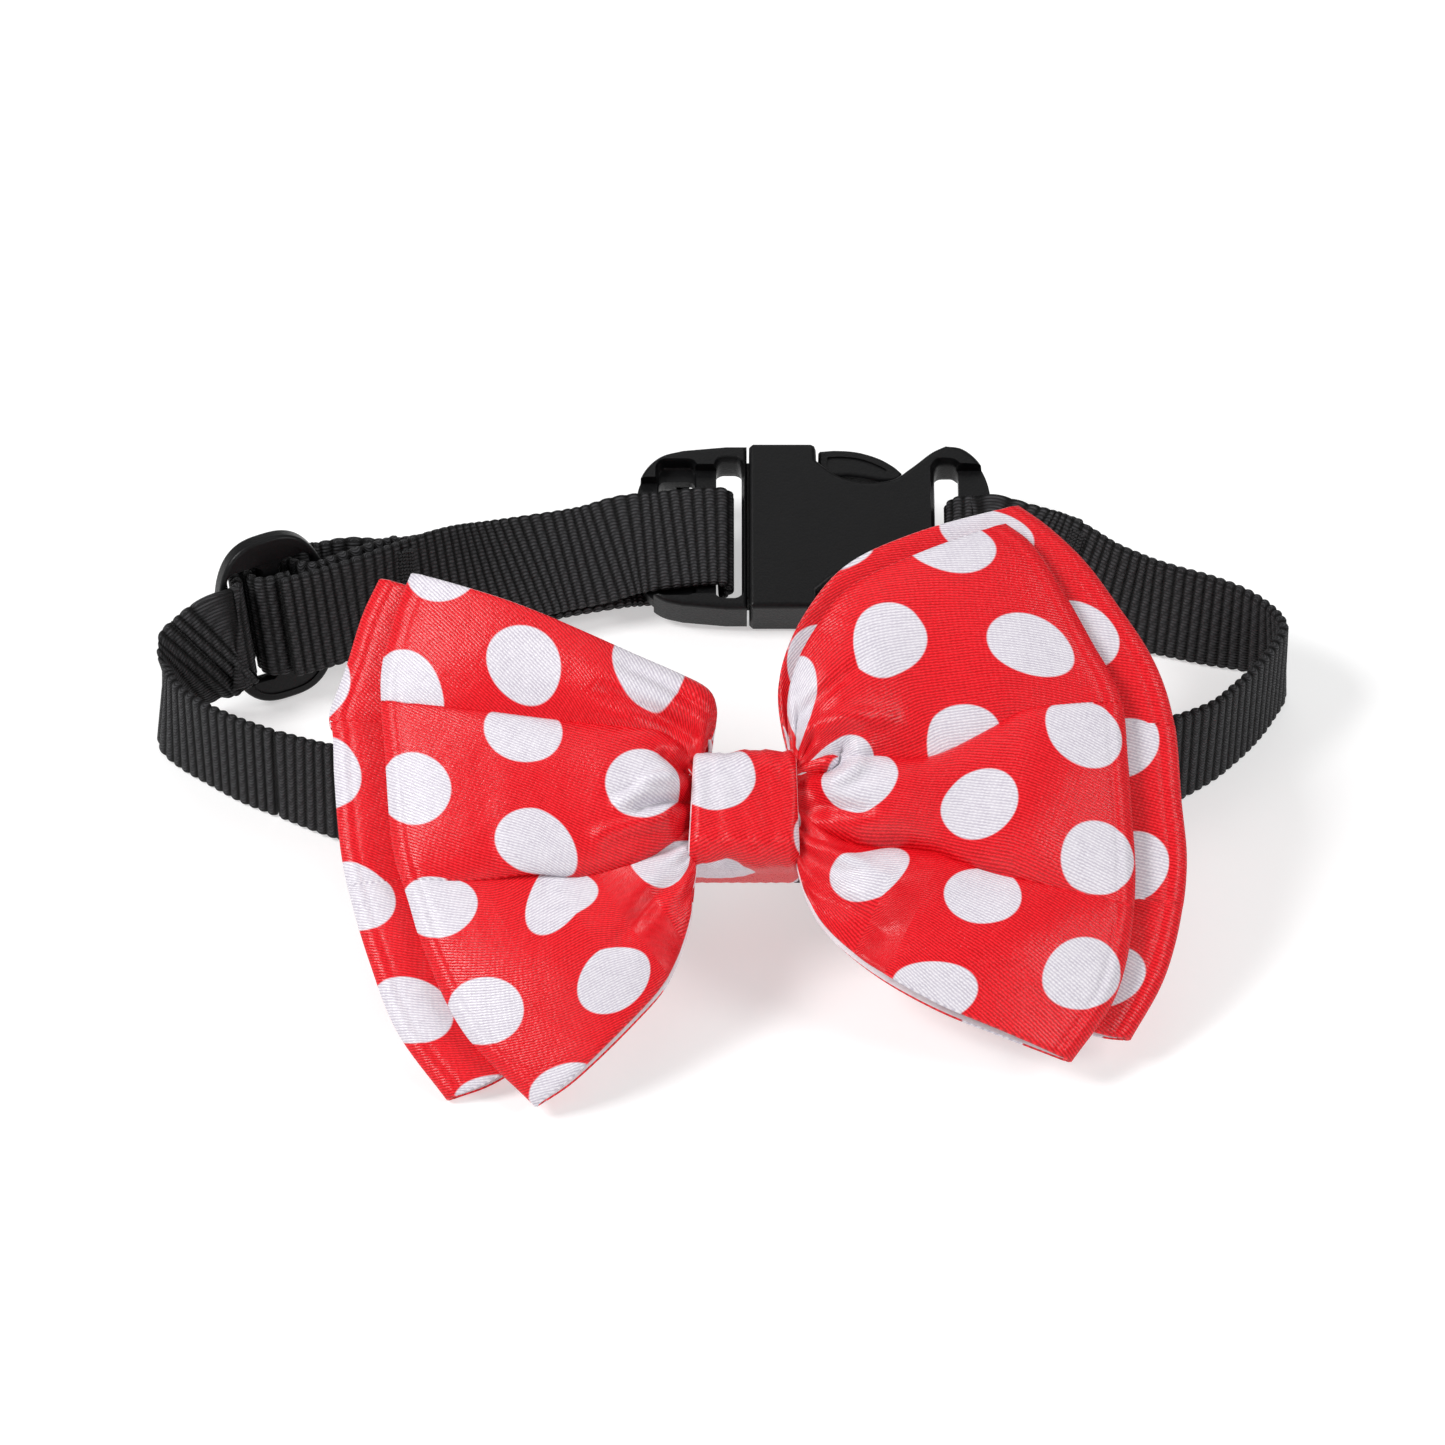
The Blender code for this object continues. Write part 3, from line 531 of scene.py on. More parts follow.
into_slider = [(RISE[0] + (SPLIT + 0.02) * (RISE[1] - RISE[0]), RISE_LEAN, TAPE_WIDTH)]
into_slider += glide(
    [(-7.6, 2.5), (-6.3, 2.45), (-5.1, 1.8), (-4.5, 0.1), (-4.3, -2.2), (-2.5, -4.0),
     (0.6, -4.4), (3.8, -3.7)]
)
under_bar = at_bar([(-8.5, -1.7, -2.05), (-4.5, -1.2, -2.05), (-1.6, -1.0, -2.05)])
bar_fold = at_bar(
    [(-8.5, -1.7, 2.05), (-4.5, -1.2, 2.05), (-1.6, -1.0, 2.05), (0.1, -0.95, 1.7),
     (0.85, -0.95, 0.6), (0.85, -0.95, -0.6), (0.1, -0.95, -1.7), (-0.8, -1.0, -2.05)]
)
end_loop = glide(
    [(5.2, 1.95), (4.0, 0.6), (3.1, -1.2), (1.6, -2.35), (-0.7, -2.4), (-2.3, -1.5), (-2.65, 0.0),
     (-2.2, 1.6), (-0.8, 2.4), (0.9, 2.45), (2.1, 2.62)]
)


def build_webbing():
    cut_end = glide([(0.2, 3.95), (2.7, 4.05), (4.6, 4.2)])
    pieces = {
        "webbing_neck_run": (neck, "collar"),
        "webbing_left_turn": (full_width(LEFT_TURN), None),
        "webbing_adjust_return": (into_slider + under_stations + under_bar, "male_side"),
        "webbing_adjust_top": (cut_end + top_stations + bar_fold, "male_side"),
        "webbing_slider_end_loop": (end_stations[::-1] + end_loop, "slider"),
    }
    for name, (stations, body) in pieces.items():
        obj = tape("ribbed_" + name, stations)
        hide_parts(name)
        if body:
            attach(obj, body)
        else:
            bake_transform(obj)


# ---------------------------------------------------------------- threads
def thread(points, radius, sides=6):
    """A closed tube of thread along a polyline: vertices, faces and UVs."""
    points = np.asarray(points, float)
    way = np.gradient(points, axis=0)
    verts, uv, run = [], [], run_of(points)
    up = np.array((0.13, 0.21, 1.0))
    for p, t, s in zip(points, way, run):
        t = unit(t)
        a = unit(np.cross(t, up))
        b = np.cross(t, a)
        for k in range(sides):
            angle = 2 * math.pi * k / sides
            verts.append(p + radius * (math.cos(angle) * a + math.sin(angle) * b))
            uv.append((s, 2 * radius * angle))
    faces = grid_faces(len(points), sides, closed=True)
    last = (len(points) - 1) * sides
    faces.append(list(range(sides)))
    faces.append([last + k for k in range(sides)][::-1])
    return verts, faces, uv


def threads(name, lines, radius, look, node, body):
    """Several runs of thread as one piece."""
    verts, faces, uv = [], [], []
    for line in lines:
        v, f, w = thread(line, radius)
        faces += [[k + len(verts) for k in face] for face in f]
        verts += v
        uv += w
    obj = make(name, verts, faces, [look], uv)
    fix_normals(obj)
    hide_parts(node)
    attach(obj, body)


def bar_tack(stations):
    """Rows of zigzag stitches across the tape, on its upper face at the middle one of three stations."""
    before, (centre, w, _), after = stations
    tack = Frame(centre, after[0] - before[0], w)
    reach, rows, zigzags, length = 1.1, 5, 26, 12.5
    offset = TAPE_THICK / 2 + 0.22
    lines = []
    for row in range(rows):
        x = -reach + 2 * reach * (row + 0.5) / rows
        points = []
        for k in range(zigzags * 4 + 1):
            t = k / (zigzags * 4)
            swing = 2 * math.pi * zigzags * t + row
            a, lift = x + 0.28 * math.sin(swing), 0.12 * math.cos(swing)
            points.append(tack.at(a, (t - 0.5) * length, offset + lift))
        lines.append(points)
    return lines


def band_corners(half_y, low, high, radius):
    """The corners of a band round the waists: (across, normal) centres and starting angles."""
    y, top, bottom = half_y - radius, high - radius, low + radius
    return (y, top, 0), (-y, top, 90), (-y, bottom, 180), (y, bottom, 270)


def build_threads():
    for name, body, stations in (
        ("bar_tack_female_end", "collar", over),
        ("bar_tack_slider_end", "slider", top_stations),
    ):
        lines = bar_tack(stations[1:4])
        threads("stitched_" + name, lines, 0.2, BLACK_THREAD, name, body)
    turns = []
    for turn in range(4):
        x = -0.6 + 0.4 * turn
        loop = [BOW.at(x, y, n) for y, n in turned(band_corners(6.3, -1.55, 5.8, 1.3), 1.3, 6)]
        turns.append(loop + [loop[0]])
    threads("wound_waist_thread", turns, 0.17, RED_THREAD, "waist_gather_thread", "bow")
    whips, count, reach = [], 12, 5.4
    for k in range(count):
        y = -reach + 2 * reach * (k + 0.5) / count
        whips.append([BOW.at(-1.2 + 2.4 * t, y + 0.45 * (t - 0.5), -9.12 - 0.24 * math.sin(math.pi * t))
                      for t in np.linspace(0, 1, 8)])
    threads("whipped_wrap_stitch", whips, 0.16, RED_THREAD, "wrap_closing_stitch", "bow")


# ---------------------------------------------------------------- the bow's cloth
ROWS = 74  # stations from the outer edge to the waist
PANEL_STEPS = (34, 8, 40, 8, 34)  # samples over the lower panel, pleat, roll, pleat and upper panel
BACK_COLUMNS = 121
HEM = 1.1


class Wing:
    """One wing of a bow layer, described in the bow's plane in mm from the knot's centre.

    Four lines run from the outer edge to the waist: the lower edge, the two pleats that bound the
    middle roll, and the upper edge. outer is the edge that joins their starts. The tables that
    follow hold (share of the way in, value) pairs. cloth gives the height on the cloth (mm from its
    lower edge) at the lower edge, at both sides of each pleat and at the top. tuck gives how far the
    panels run under the roll, how lopsided their crests are (skew), the creases as (line, depth,
    width), and how far the face falls to its pressed edge (drop). heights gives each part's height
    above the bow's plane. dots gives the place on the cloth of the middle of one dot, and any shift
    of the print in from the edge by height.
    """

    def __init__(self, lower, low_pleat, high_pleat, upper, outer, cloth, tuck, heights, dots):
        self.lines = [spline(line, 16) for line in (lower, low_pleat, high_pleat, upper)]
        self.outer = spline(outer, 16)
        self.cloth, self.tuck, self.heights, self.dots = cloth, tuck, heights, dots
        self.drop = tuck.get("drop", 2.6)

    def outline_split(self):
        """The outer edge cut where the two pleats reach it."""
        cuts = [0]
        for line in self.lines[1:3]:
            cuts.append(int(np.argmin(np.linalg.norm(self.outer - line[0], axis=1))))
        cuts.append(len(self.outer) - 1)
        return [self.outer[a : b + 1] for a, b in zip(cuts, cuts[1:])]


def share(table, s):
    """Values read at s from (share of the way in, value) pairs, as a column."""
    at, values = zip(*table)
    return np.interp(s, at, values)[:, None]


def stations_in():
    """Shares of the way in from the outer edge to the waist, closer together near both ends."""
    t = np.linspace(0, 1, ROWS)
    return t - 0.09 * np.sin(2 * math.pi * t)


def panel(start, end, arc, count, s):
    """A panel's flat grid between two lines, bowed out near the outer edge to follow its arc."""
    v = np.linspace(0, 1, count)
    flat = start[:, None] * (1 - v[None, :, None]) + end[:, None] * v[None, :, None]
    bow = at_fractions(arc, v) - (arc[0] * (1 - v[:, None]) + arc[-1] * v[:, None])
    return flat + ((1 - s) ** 2.2)[:, None, None] * bow[None], v[None]


def cross_sections(wing):
    """The wing's face as a grid: rows from the outer edge in, columns from the lower edge up."""
    s = stations_in()
    lower, low, high, upper = (at_fractions(line, s) for line in wing.lines)
    low_arc, roll_arc, high_arc = wing.outline_split()
    up_mid = np.array([unit(d) for d in (high - low)])
    tuck_low, tuck_high = share(wing.tuck["low"], s), share(wing.tuck["high"], s)
    low_inner, high_inner = low + up_mid * tuck_low, high - up_mid * tuck_high
    h = {key: share(table, s) for key, table in wing.heights.items()}
    t = {key: share(table, s) for key, table in wing.cloth.items()}
    parts, heights, cloth = [], [], []

    def add(points, n, start, end):
        run = run_of(points.transpose(1, 0, 2)).T
        parts.append(points)
        heights.append(n)
        cloth.append(start + (end - start) * run / np.maximum(run[:, -1:], 1e-6))

    flat, v = panel(lower, low_inner, low_arc, PANEL_STEPS[0], s)
    crest = np.sin(math.pi * v ** wing.tuck.get("low_skew", 0.9)) ** 0.85
    add(flat, h["lower"] * (1 - v) + h["low_valley"] * v + h["low_crest"] * crest, t["bottom"], t["low_in"])
    w = np.linspace(0, 1, PANEL_STEPS[1] + 2)[None, 1:-1]
    back = low_inner[:, None] * (1 - w[..., None]) + low[:, None] * w[..., None]
    lift = h["lap"] * np.minimum(1, tuck_low / 1.2)
    add(back, h["low_valley"] + lift * w, t["low_in"], t["low_out"])
    flat, v = panel(low, high, roll_arc, PANEL_STEPS[2], s)
    lift_high = h["lap"] * np.minimum(1, tuck_high / 1.2)
    base = (h["low_valley"] + lift) * (1 - v) + (h["high_valley"] + lift_high) * v
    dome = (1 - np.abs(2 * v - 1) ** 2.4) ** 0.62
    add(flat, base + h["roll"] * dome, t["low_out"], t["high_out"])
    back = high[:, None] * (1 - w[..., None]) + high_inner[:, None] * w[..., None]
    add(back, h["high_valley"] + lift_high * (1 - w), t["high_out"], t["high_in"])
    flat, v = panel(high_inner, upper, high_arc, PANEL_STEPS[4], s)
    crest = np.sin(math.pi * v ** wing.tuck.get("high_skew", 1.1)) ** 0.85
    add(flat, h["high_valley"] * (1 - v) + h["upper"] * v + h["high_crest"] * crest, t["high_in"], t["top"])

    flat, n, t = np.concatenate(parts, 1), np.concatenate(heights, 1), np.concatenate(cloth, 1)
    return np.concatenate([flat, n[..., None]], 2), t, s


def relax(grid, times):
    """Evens out a grid's heights and places, leaving its borders."""
    for _ in range(times):
        mean = grid.copy()
        mean[:, 1:-1] = (grid[:, :-2] + 2 * grid[:, 1:-1] + grid[:, 2:]) / 4
        mean[1:-1] = (mean[:-2] + 2 * mean[1:-1] + mean[2:]) / 4
        grid = mean
    return grid


def edge_profile(grid, drop):
    """Lets the face fall in a soft curve to its pressed outer edge, with a groove just inside it."""
    run = run_of(grid[:, :, :2])
    near = np.clip(1 - run / 14.0, 0, 1)
    pressed = np.clip(1 - run / 1.1, 0, 1)
    groove = np.exp(-(((run - 1.7) / 0.4) ** 2))
    grid = grid.copy()
    grid[:, :, 2] -= drop * near**1.7 + 0.35 * pressed**2 + 0.13 * groove
    return grid


def gathers(grid, t, s, amount, phase):
    """Fine folds that radiate from the waist, and a broad wave over the whole wing."""
    reach = 0.42  # share of the way out that the fine folds cover
    grow = smooth((s - (1 - reach)) / reach)[:, None]
    s = s[:, None]
    wave = np.sin(2 * math.pi * t / 6.3 + phase)
    wave = wave + 0.6 * np.sin(2 * math.pi * t / 3.9 + 1.7 * phase + 5 * s)
    broad = np.sin(2 * math.pi * (t / 23 + 1.4 * s) + phase)
    grid = grid.copy()
    grid[:, :, 2] += amount * grow**1.4 * wave + 0.30 * broad * np.sin(math.pi * s)
    return grid


def skin(name, grid, uv, lining_side):
    """A grid of bow-plane points as a closed sheet with a rounded rim; the reverse shows on one side."""
    du, dv = np.gradient(grid, axis=0), np.gradient(grid, axis=1)
    n = np.cross(du, dv)
    n /= np.maximum(np.linalg.norm(n, axis=2), 1e-9)[:, :, None]
    if n[:, :, 2].mean() < 0:
        n = -n
    rows, cols = grid.shape[:2]
    face, back = grid + n * CLOTH / 2, grid - n * CLOTH / 2
    rim = [(i, 0) for i in range(rows)] + [(rows - 1, j) for j in range(1, cols)]
    rim += [(i, cols - 1) for i in range(rows - 2, -1, -1)] + [(0, j) for j in range(cols - 2, 0, -1)]
    ri, rj = np.array(rim).T
    inner = grid[np.clip(ri, 1, rows - 2), np.clip(rj, 1, cols - 2)]
    out = grid[ri, rj] - inner
    out /= np.maximum(np.linalg.norm(out, axis=1), 1e-9)[:, None]
    lip = grid[ri, rj] + out * CLOTH * 0.45
    points = np.vstack([face.reshape(-1, 3), back.reshape(-1, 3), lip])
    low, edge = rows * cols, 2 * rows * cols
    faces = grid_faces(rows, cols)
    looks = [0 if lining_side < 0 else 1] * len(faces)
    faces += grid_faces(rows, cols, low, flip=True)
    looks += [1 if lining_side < 0 else 0] * (len(faces) - len(looks))
    k = ri * cols + rj
    for a in range(len(k)):
        b = (a + 1) % len(k)
        faces.append([int(k[a]), int(k[b]), edge + b, edge + a])
        faces.append([edge + a, edge + b, int(k[b]) + low, int(k[a]) + low])
    looks += [0] * (len(faces) - len(looks))
    flat_uv = uv.reshape(-1, 2)
    all_uv = np.vstack([flat_uv, flat_uv, flat_uv[k]])
    obj = make(name, BOW.points(points), faces, [SATIN, LINING], all_uv, looks)
    fix_normals(obj)
    return obj


def fold_over(grid, run, t):
    """The face with rows added that carry it round its pressed outer edge to the underside."""
    outward = grid[0, :, :2] - grid[3, :, :2]
    outward /= np.linalg.norm(outward, axis=1)[:, None]
    extra, more = [], []
    for angle in (60, 120, 170):
        a = math.radians(angle)
        row = grid[0].copy()
        row[:, :2] += outward * FOLD_RADIUS * math.sin(a)
        row[:, 2] -= FOLD_RADIUS * (1 - math.cos(a))
        extra.append(row)
        more.append(np.full(t.shape[1], -FOLD_RADIUS * a))
    tail = extra[-1].copy()
    tail[:, :2] -= outward * HEM
    tail[:, 2] -= 0.1
    extra.append(tail)
    more.append(more[-1] - HEM)
    heights = [t[0]] * len(extra)
    return tuple(np.concatenate(pair) for pair in ((extra[::-1], grid), (more[::-1], run), (heights, t)))


def crease(grid, line, depth, width):
    """Presses a soft crease along a line of the bow's plane; a negative depth raises a fold."""
    line = spline(line, 12)
    flat = grid[:, :, :2].reshape(-1, 1, 2)
    gap = np.linalg.norm(flat - line[None], axis=2)
    near = gap.argmin(1)
    fade = np.sin(math.pi * np.clip(near / (len(line) - 1), 0.12, 0.88)) ** 0.5
    grid = grid.copy()
    grid[:, :, 2] -= (depth * fade * np.exp(-((gap.min(1) / width) ** 2))).reshape(grid.shape[:2])
    return grid


def wing_face(wing, phase, gather, waist_n):
    """One wing's face: its grid, each point's distance in along the cloth, and its height on the cloth."""
    grid, t, s = cross_sections(wing)
    grid = relax(grid, 2)
    grid = edge_profile(grid, wing.drop)
    grid = gathers(grid, t, s, gather, phase)
    for line, depth, width in wing.tuck.get("creases", ()):
        grid = crease(grid, line, depth, width)
    ease = smooth((s - 0.86) / 0.14)[:, None]
    grid[:, :, 2] = grid[:, :, 2] * (1 - ease) + (waist_n + 0.3 * np.sin(t * 0.9)) * ease
    return grid, run_of(relax(grid, 12)), t


def print_uv(wing, depth, t):
    """Where each point lies on the printed cloth, measured from the middle of a dot."""
    at, shift = zip(*wing.dots.get("shift", [(0, 0.0)]))
    return np.stack([depth - wing.dots["in"] - np.interp(t, at, shift), t - wing.dots["up"]], 2)


def joined(left, right, turn=1):
    """Two wings' rows from tip to tip, with rows over the waist between them."""
    bridge = np.linspace(0, 1, 7)[1:-1, None, None]
    middle = left[-1][None] * (1 - bridge) + right[-1][None] * bridge
    return np.concatenate([left, middle, right[::-1] * turn])


def layer_face(name, wings, gather, waist_n):
    """A bow layer's face from tip to tip, over the waist."""
    halves = []
    for wing, phase in zip(wings, (0.6, 2.3)):
        grid, depth, t = wing_face(wing, phase, gather, waist_n)
        grid, depth, t = fold_over(grid, depth, t)
        halves.append((grid, print_uv(wing, depth, t)))
    (left, left_uv), (right, right_uv) = halves
    # On the right the print is counted inwards from the other tip.
    return skin(name, joined(left, right), joined(left_uv, right_uv, (-1, 1)), lining_side=-1)


def layer_back(name, wings, waist_n, wing_n):
    """The layer's plain back ply, hanging a little below the face between the same outer edges."""
    halves = []
    v = np.linspace(0, 1, BACK_COLUMNS)
    s = stations_in()
    for wing in wings:
        lower, upper = at_fractions(wing.lines[0], s), at_fractions(wing.lines[3], s)
        flat, _ = panel(lower, upper, wing.outer, BACK_COLUMNS, s)
        waist = smooth((s - 0.55) / 0.45)[:, None]
        edge_n = share(wing.heights["lower"], s) * (1 - v) + share(wing.heights["upper"], s) * v
        outer_n = edge_n - wing.drop - 0.35 - 2 * FOLD_RADIUS - 0.2
        belly = wing_n * smooth(s / 0.35)[:, None] * (0.35 + 0.65 * np.sin(math.pi * v) ** 0.7)
        n = (outer_n + belly) * (1 - waist) + waist_n * waist
        fold = np.sin(2 * math.pi * v * 9) + 0.5 * np.sin(2 * math.pi * v * 5 + 1.0)
        n = n + 0.62 * smooth((s - 0.35) / 0.5)[:, None] * fold
        grid = np.concatenate([flat, n[..., None]], 2)
        depth = run_of(grid)
        # The back starts 1 mm inside the face's folded edge.
        inward = grid[4, :, :2] - grid[0, :, :2]
        grid[0, :, :2] += inward / np.maximum(np.linalg.norm(inward, axis=1), 1e-9)[:, None]
        halves.append((grid, print_uv(wing, -depth, np.tile(v * 81.0, (ROWS, 1)))))
    (left, left_uv), (right, right_uv) = halves
    return skin(name, joined(left, right), joined(left_uv, right_uv), lining_side=1)


def level(*values):
    """Evenly spaced (share, value) pairs."""
    return [(k / (len(values) - 1), v) for k, v in enumerate(values)]


FRONT_EDGE = level(5.6, 5.6, 5.4, 4.9)
FRONT_LEFT = Wing(
    lower=[(-25.9, -37.6), (-21.3, -34.3), (-14.4, -27.5), (-9.7, -21.8), (-7.2, -15.0), (-6.7, -10.5),
           (-6.0, -5.6)],
    low_pleat=[(-42.8, -9.2), (-34.4, -9.5), (-26.6, -9.1), (-20.3, -9.5), (-14.0, -8.1), (-9.3, -4.9),
           (-6.0, -2.2)],
    high_pleat=[(-45.8, 14.2), (-32.3, 12.2), (-23.4, 11.2), (-13.4, 10.8), (-8.5, 8.2), (-6.0, 4.1)],
    upper=[(-42.2, 31.1), (-28.6, 26.1), (-15.9, 20.5), (-8.0, 17.0), (-4.3, 14.8), (-4.0, 11.0),
           (-6.0, 5.8)],
    outer=[(-25.9, -37.6), (-34.6, -29.0), (-39.7, -19.4), (-42.3, -11.7), (-44.3, -5.1), (-45.3, 6.6),
           (-46.0, 14.6), (-45.9, 19.7), (-44.2, 26.3), (-42.2, 31.1)],
    cloth={
        "bottom": [(0, 0.0), (0.58, 0.0), (0.69, 19.5), (0.8, 20.5), (0.9, 23.0), (1, 25.0)],
        "low_in": [(0, 36.6), (0.25, 35.0), (0.45, 30.5), (0.6, 32.5), (0.82, 40.5), (1, 43.0)],
        "low_out": [(0, 36.8), (0.25, 36.2), (0.45, 35.6), (0.85, 39.5), (1, 40.0)],
        "high_out": [(0, 61.2), (0.48, 60.4), (0.83, 58.0), (1, 57.0)],
        "high_in": [(0, 62.2), (0.48, 66.0), (0.83, 76.6), (1, 78.0)],
        "top": [(0, 81.0), (0.5, 82.0), (0.83, 85.5), (1, 87.0)],
    },
    tuck={
        "low": [(0, 0.2), (0.3, 0.3), (0.45, 3.0), (0.75, 4.0), (1, 1.0)],
        "high": [(0, 1.2), (0.3, 2.6), (0.75, 4.2), (1, 1.0)],
        "creases": (
            ([(-5.6, 3.2), (-8.2, 4.6), (-10.2, 5.9)], 1.9, 0.75),
            ([(-6.0, 0.9), (-9.5, 0.3), (-13.4, -1.2)], 2.2, 0.8),
            ([(-6.5, 2.3), (-11.0, 2.6), (-15.5, -0.6)], -1.4, 0.9),
            ([(-9.5, 2.0), (-13.0, 1.6), (-16.2, 0.6)], 0.85, 0.5),
            ([(-6.0, -2.6), (-12.0, -3.0), (-18.0, -4.6)], -0.85, 1.1),
            ([(-6.5, 9.0), (-11.0, 11.6), (-17.5, 14.2)], 1.5, 1.1),
            ([(-5.2, 12.0), (-9.0, 14.8), (-15.0, 17.6)], 1, 0.7),
            ([(-7.0, -8.5), (-11.0, -12.0), (-15.5, -17.5)], 1, 1.2),
        ),
    },
    heights={
        "lower": FRONT_EDGE,
        "low_valley": [(0, 6.2), (0.3, 4.9), (0.6, 4.2), (1, 4.6)],
        "low_crest": [(0, 0.2), (0.3, 1.4), (0.7, 2.2), (1, 0.2)],
        "lap": [(0, 0.5), (0.3, 0.9), (0.8, 1.2), (1, 0.3)],
        "roll": [(0, 0.3), (0.3, 1.9), (0.65, 3.7), (0.88, 2.9), (1, 0.3)],
        "high_valley": [(0, 6.0), (0.3, 4.9), (0.6, 4.2), (1, 4.6)],
        "high_crest": [(0, 0.2), (0.3, 1.5), (0.7, 3.2), (1, 0.3)],
        "upper": FRONT_EDGE,
    },
    dots={"in": 3.4, "up": 15.0},
)
FRONT_RIGHT = Wing(
    lower=[(40.3, -32.0), (31.8, -28.6), (24.3, -25.5), (16.8, -21.2), (10.6, -16.1), (7.7, -11.3),
           (6.2, -5.6)],
    low_pleat=[(48.4, -12.6), (39.1, -10.6), (31.7, -8.8), (27.1, -7.4), (24.3, -6.2), (20.1, -5.4),
           (13.7, -5.1), (6.2, -0.9)],
    high_pleat=[(47.4, 14.1), (36.2, 12.9), (32.2, 10.9), (25.5, 7.2), (21.1, 6.1), (16.0, 6.7),
           (10.3, 6.6), (6.2, 4.8)],
    upper=[(32.9, 37.7), (22.4, 33.1), (13.4, 28.6), (8.9, 23.1), (6.3, 17.8), (5.5, 13.1), (5.9, 8.6),
           (6.2, 5.8)],
    outer=[(40.3, -32.0), (45.7, -24.6), (48.1, -16.8), (48.8, -9.0), (48.6, -2.6), (48.1, 6.6),
           (47.3, 15.8), (43.9, 22.3), (40.2, 29.0), (36.4, 35.0), (32.9, 37.7)],
    cloth={
        "bottom": [(0, 0.0), (0.55, 2.0), (0.65, 16.4), (0.78, 17.5), (0.88, 20.0), (1, 23.0)],
        "low_in": [(0, 21.6), (0.35, 23.5), (0.5, 26.5), (0.78, 36.5), (1, 38.5)],
        "low_out": [(0, 22.0), (0.35, 26.0), (0.5, 29.5), (0.8, 36.2), (1, 38.5)],
        "high_out": [(0, 50.3), (0.5, 47.0), (0.85, 50.2), (1, 51.0)],
        "high_in": [(0, 52.3), (0.5, 51.2), (0.85, 58.0), (1, 61.0)],
        "top": [(0, 80.0), (0.6, 79.8), (0.85, 83.0), (1, 85.0)],
    },
    tuck={
        "low": [(0, 0.15), (0.5, 0.4), (0.8, 0.8), (1, 0.5)],
        "high": [(0, 0.8), (0.4, 2.4), (0.8, 3.6), (1, 1.0)],
        "low_skew": 1.7,
        "creases": (
            ([(6.6, 4.4), (9.4, 4.2), (11.6, 5.2), (12.2, 7.2)], 2, 0.6),
            ([(7.5, 2.6), (11.5, 2.6), (14.0, 4.6), (14.6, 7.0)], -1.2, 0.9),
            ([(6.4, 1.6), (10.0, 0.2), (15.0, -1.2)], 1.2, 0.9),
            ([(6.4, 8.6), (11.0, 10.4), (18.0, 11.2)], -1.2, 1.0),
            ([(6.2, 10.5), (9.6, 14.0), (14.5, 17.6)], 1.2, 0.9),
            ([(7.4, -3.4), (12.0, -6.6), (18.0, -10.4)], -0.85, 1.2),
            ([(7.0, -8.0), (11.5, -11.8), (17.0, -16.0)], 1, 1.2),
        ),
    },
    heights={
        "lower": FRONT_EDGE,
        "low_valley": [(0, 6.0), (0.3, 5.2), (0.6, 3.9), (0.85, 3.9), (1, 4.8)],
        "low_crest": [(0, 0.2), (0.3, 1.8), (0.7, 3.0), (1, 0.2)],
        "lap": [(0, 0.2), (0.3, 0.6), (0.8, 0.8), (1, 0.3)],
        "roll": [(0, 0.4), (0.3, 2.0), (0.65, 3.8), (0.88, 3.0), (1, 0.3)],
        "high_valley": [(0, 6.0), (0.3, 4.7), (0.6, 4.0), (1, 4.6)],
        "high_crest": [(0, 0.2), (0.3, 1.5), (0.7, 3.2), (1, 0.3)],
        "upper": FRONT_EDGE,
    },
    dots={"in": 4.5, "up": 11.3,
          "shift": [(30, 0.2), (45, 0.7), (54, 1.8), (62, 3.3), (71, 4.5), (80, 3.7)]},
)
REAR_HEIGHTS = {
    "lower": level(1.6, 1.0, 0.6, 0.6),
    "low_valley": level(1.7, 0.9, 0.5, 0.6),
    "low_crest": level(0.1, 0.3, 0.2, 0.1),
    "lap": level(0.2, 0.2, 0.2, 0.1),
    "roll": level(0.1, 0.3, 0.2, 0.1),
    "high_valley": level(1.7, 0.9, 0.5, 0.6),
    "high_crest": level(0.1, 0.3, 0.2, 0.1),
    "upper": level(1.6, 1.0, 0.6, 0.6),
}
REAR_LEFT = Wing(
    lower=[(-37.0, -36.3), (-30.8, -33.6), (-20.7, -26.2), (-11.9, -18.6), (-7.9, -11.8), (-6.0, -5.6)],
    low_pleat=[(-49.8, -9.1), (-35.6, -7.8), (-19.8, -5.9), (-6.0, -2.2)],
    high_pleat=[(-52.4, 12.6), (-35.8, 11.4), (-19.9, 9.4), (-6.0, 3.2)],
    upper=[(-46.4, 31.2), (-30.0, 25.7), (-17.0, 20.3), (-9.5, 16.3), (-7.2, 11.9), (-6.0, 5.8)],
    outer=[(-37.0, -36.3), (-43.4, -27.8), (-47.1, -18.8), (-49.6, -10.9), (-51.0, -4.4), (-51.9, 4.7),
           (-52.2, 10.6), (-52.9, 13.9), (-52.0, 16.6), (-50.5, 20.6), (-48.6, 26.6), (-46.4, 31.2)],
    cloth={
        "bottom": [(0, 0.0)],
        "low_in": [(0, 31.6), (1, 34.0)], "low_out": [(0, 31.8), (1, 37.0)],
        "high_out": [(0, 54.0), (1, 56.0)], "high_in": [(0, 58.6), (1, 66.0)],
        "top": [(0, 79.0), (1, 82.0)],
    },
    tuck={"low": level(0.2, 0.4), "high": [(0, 1.2), (0.3, 1.6), (1, 0.6)], "drop": 1.4},
    heights=REAR_HEIGHTS,
    dots={"in": 3.8, "up": 13.1, "shift": [(0, 0.0), (80, -9.6)]},
)
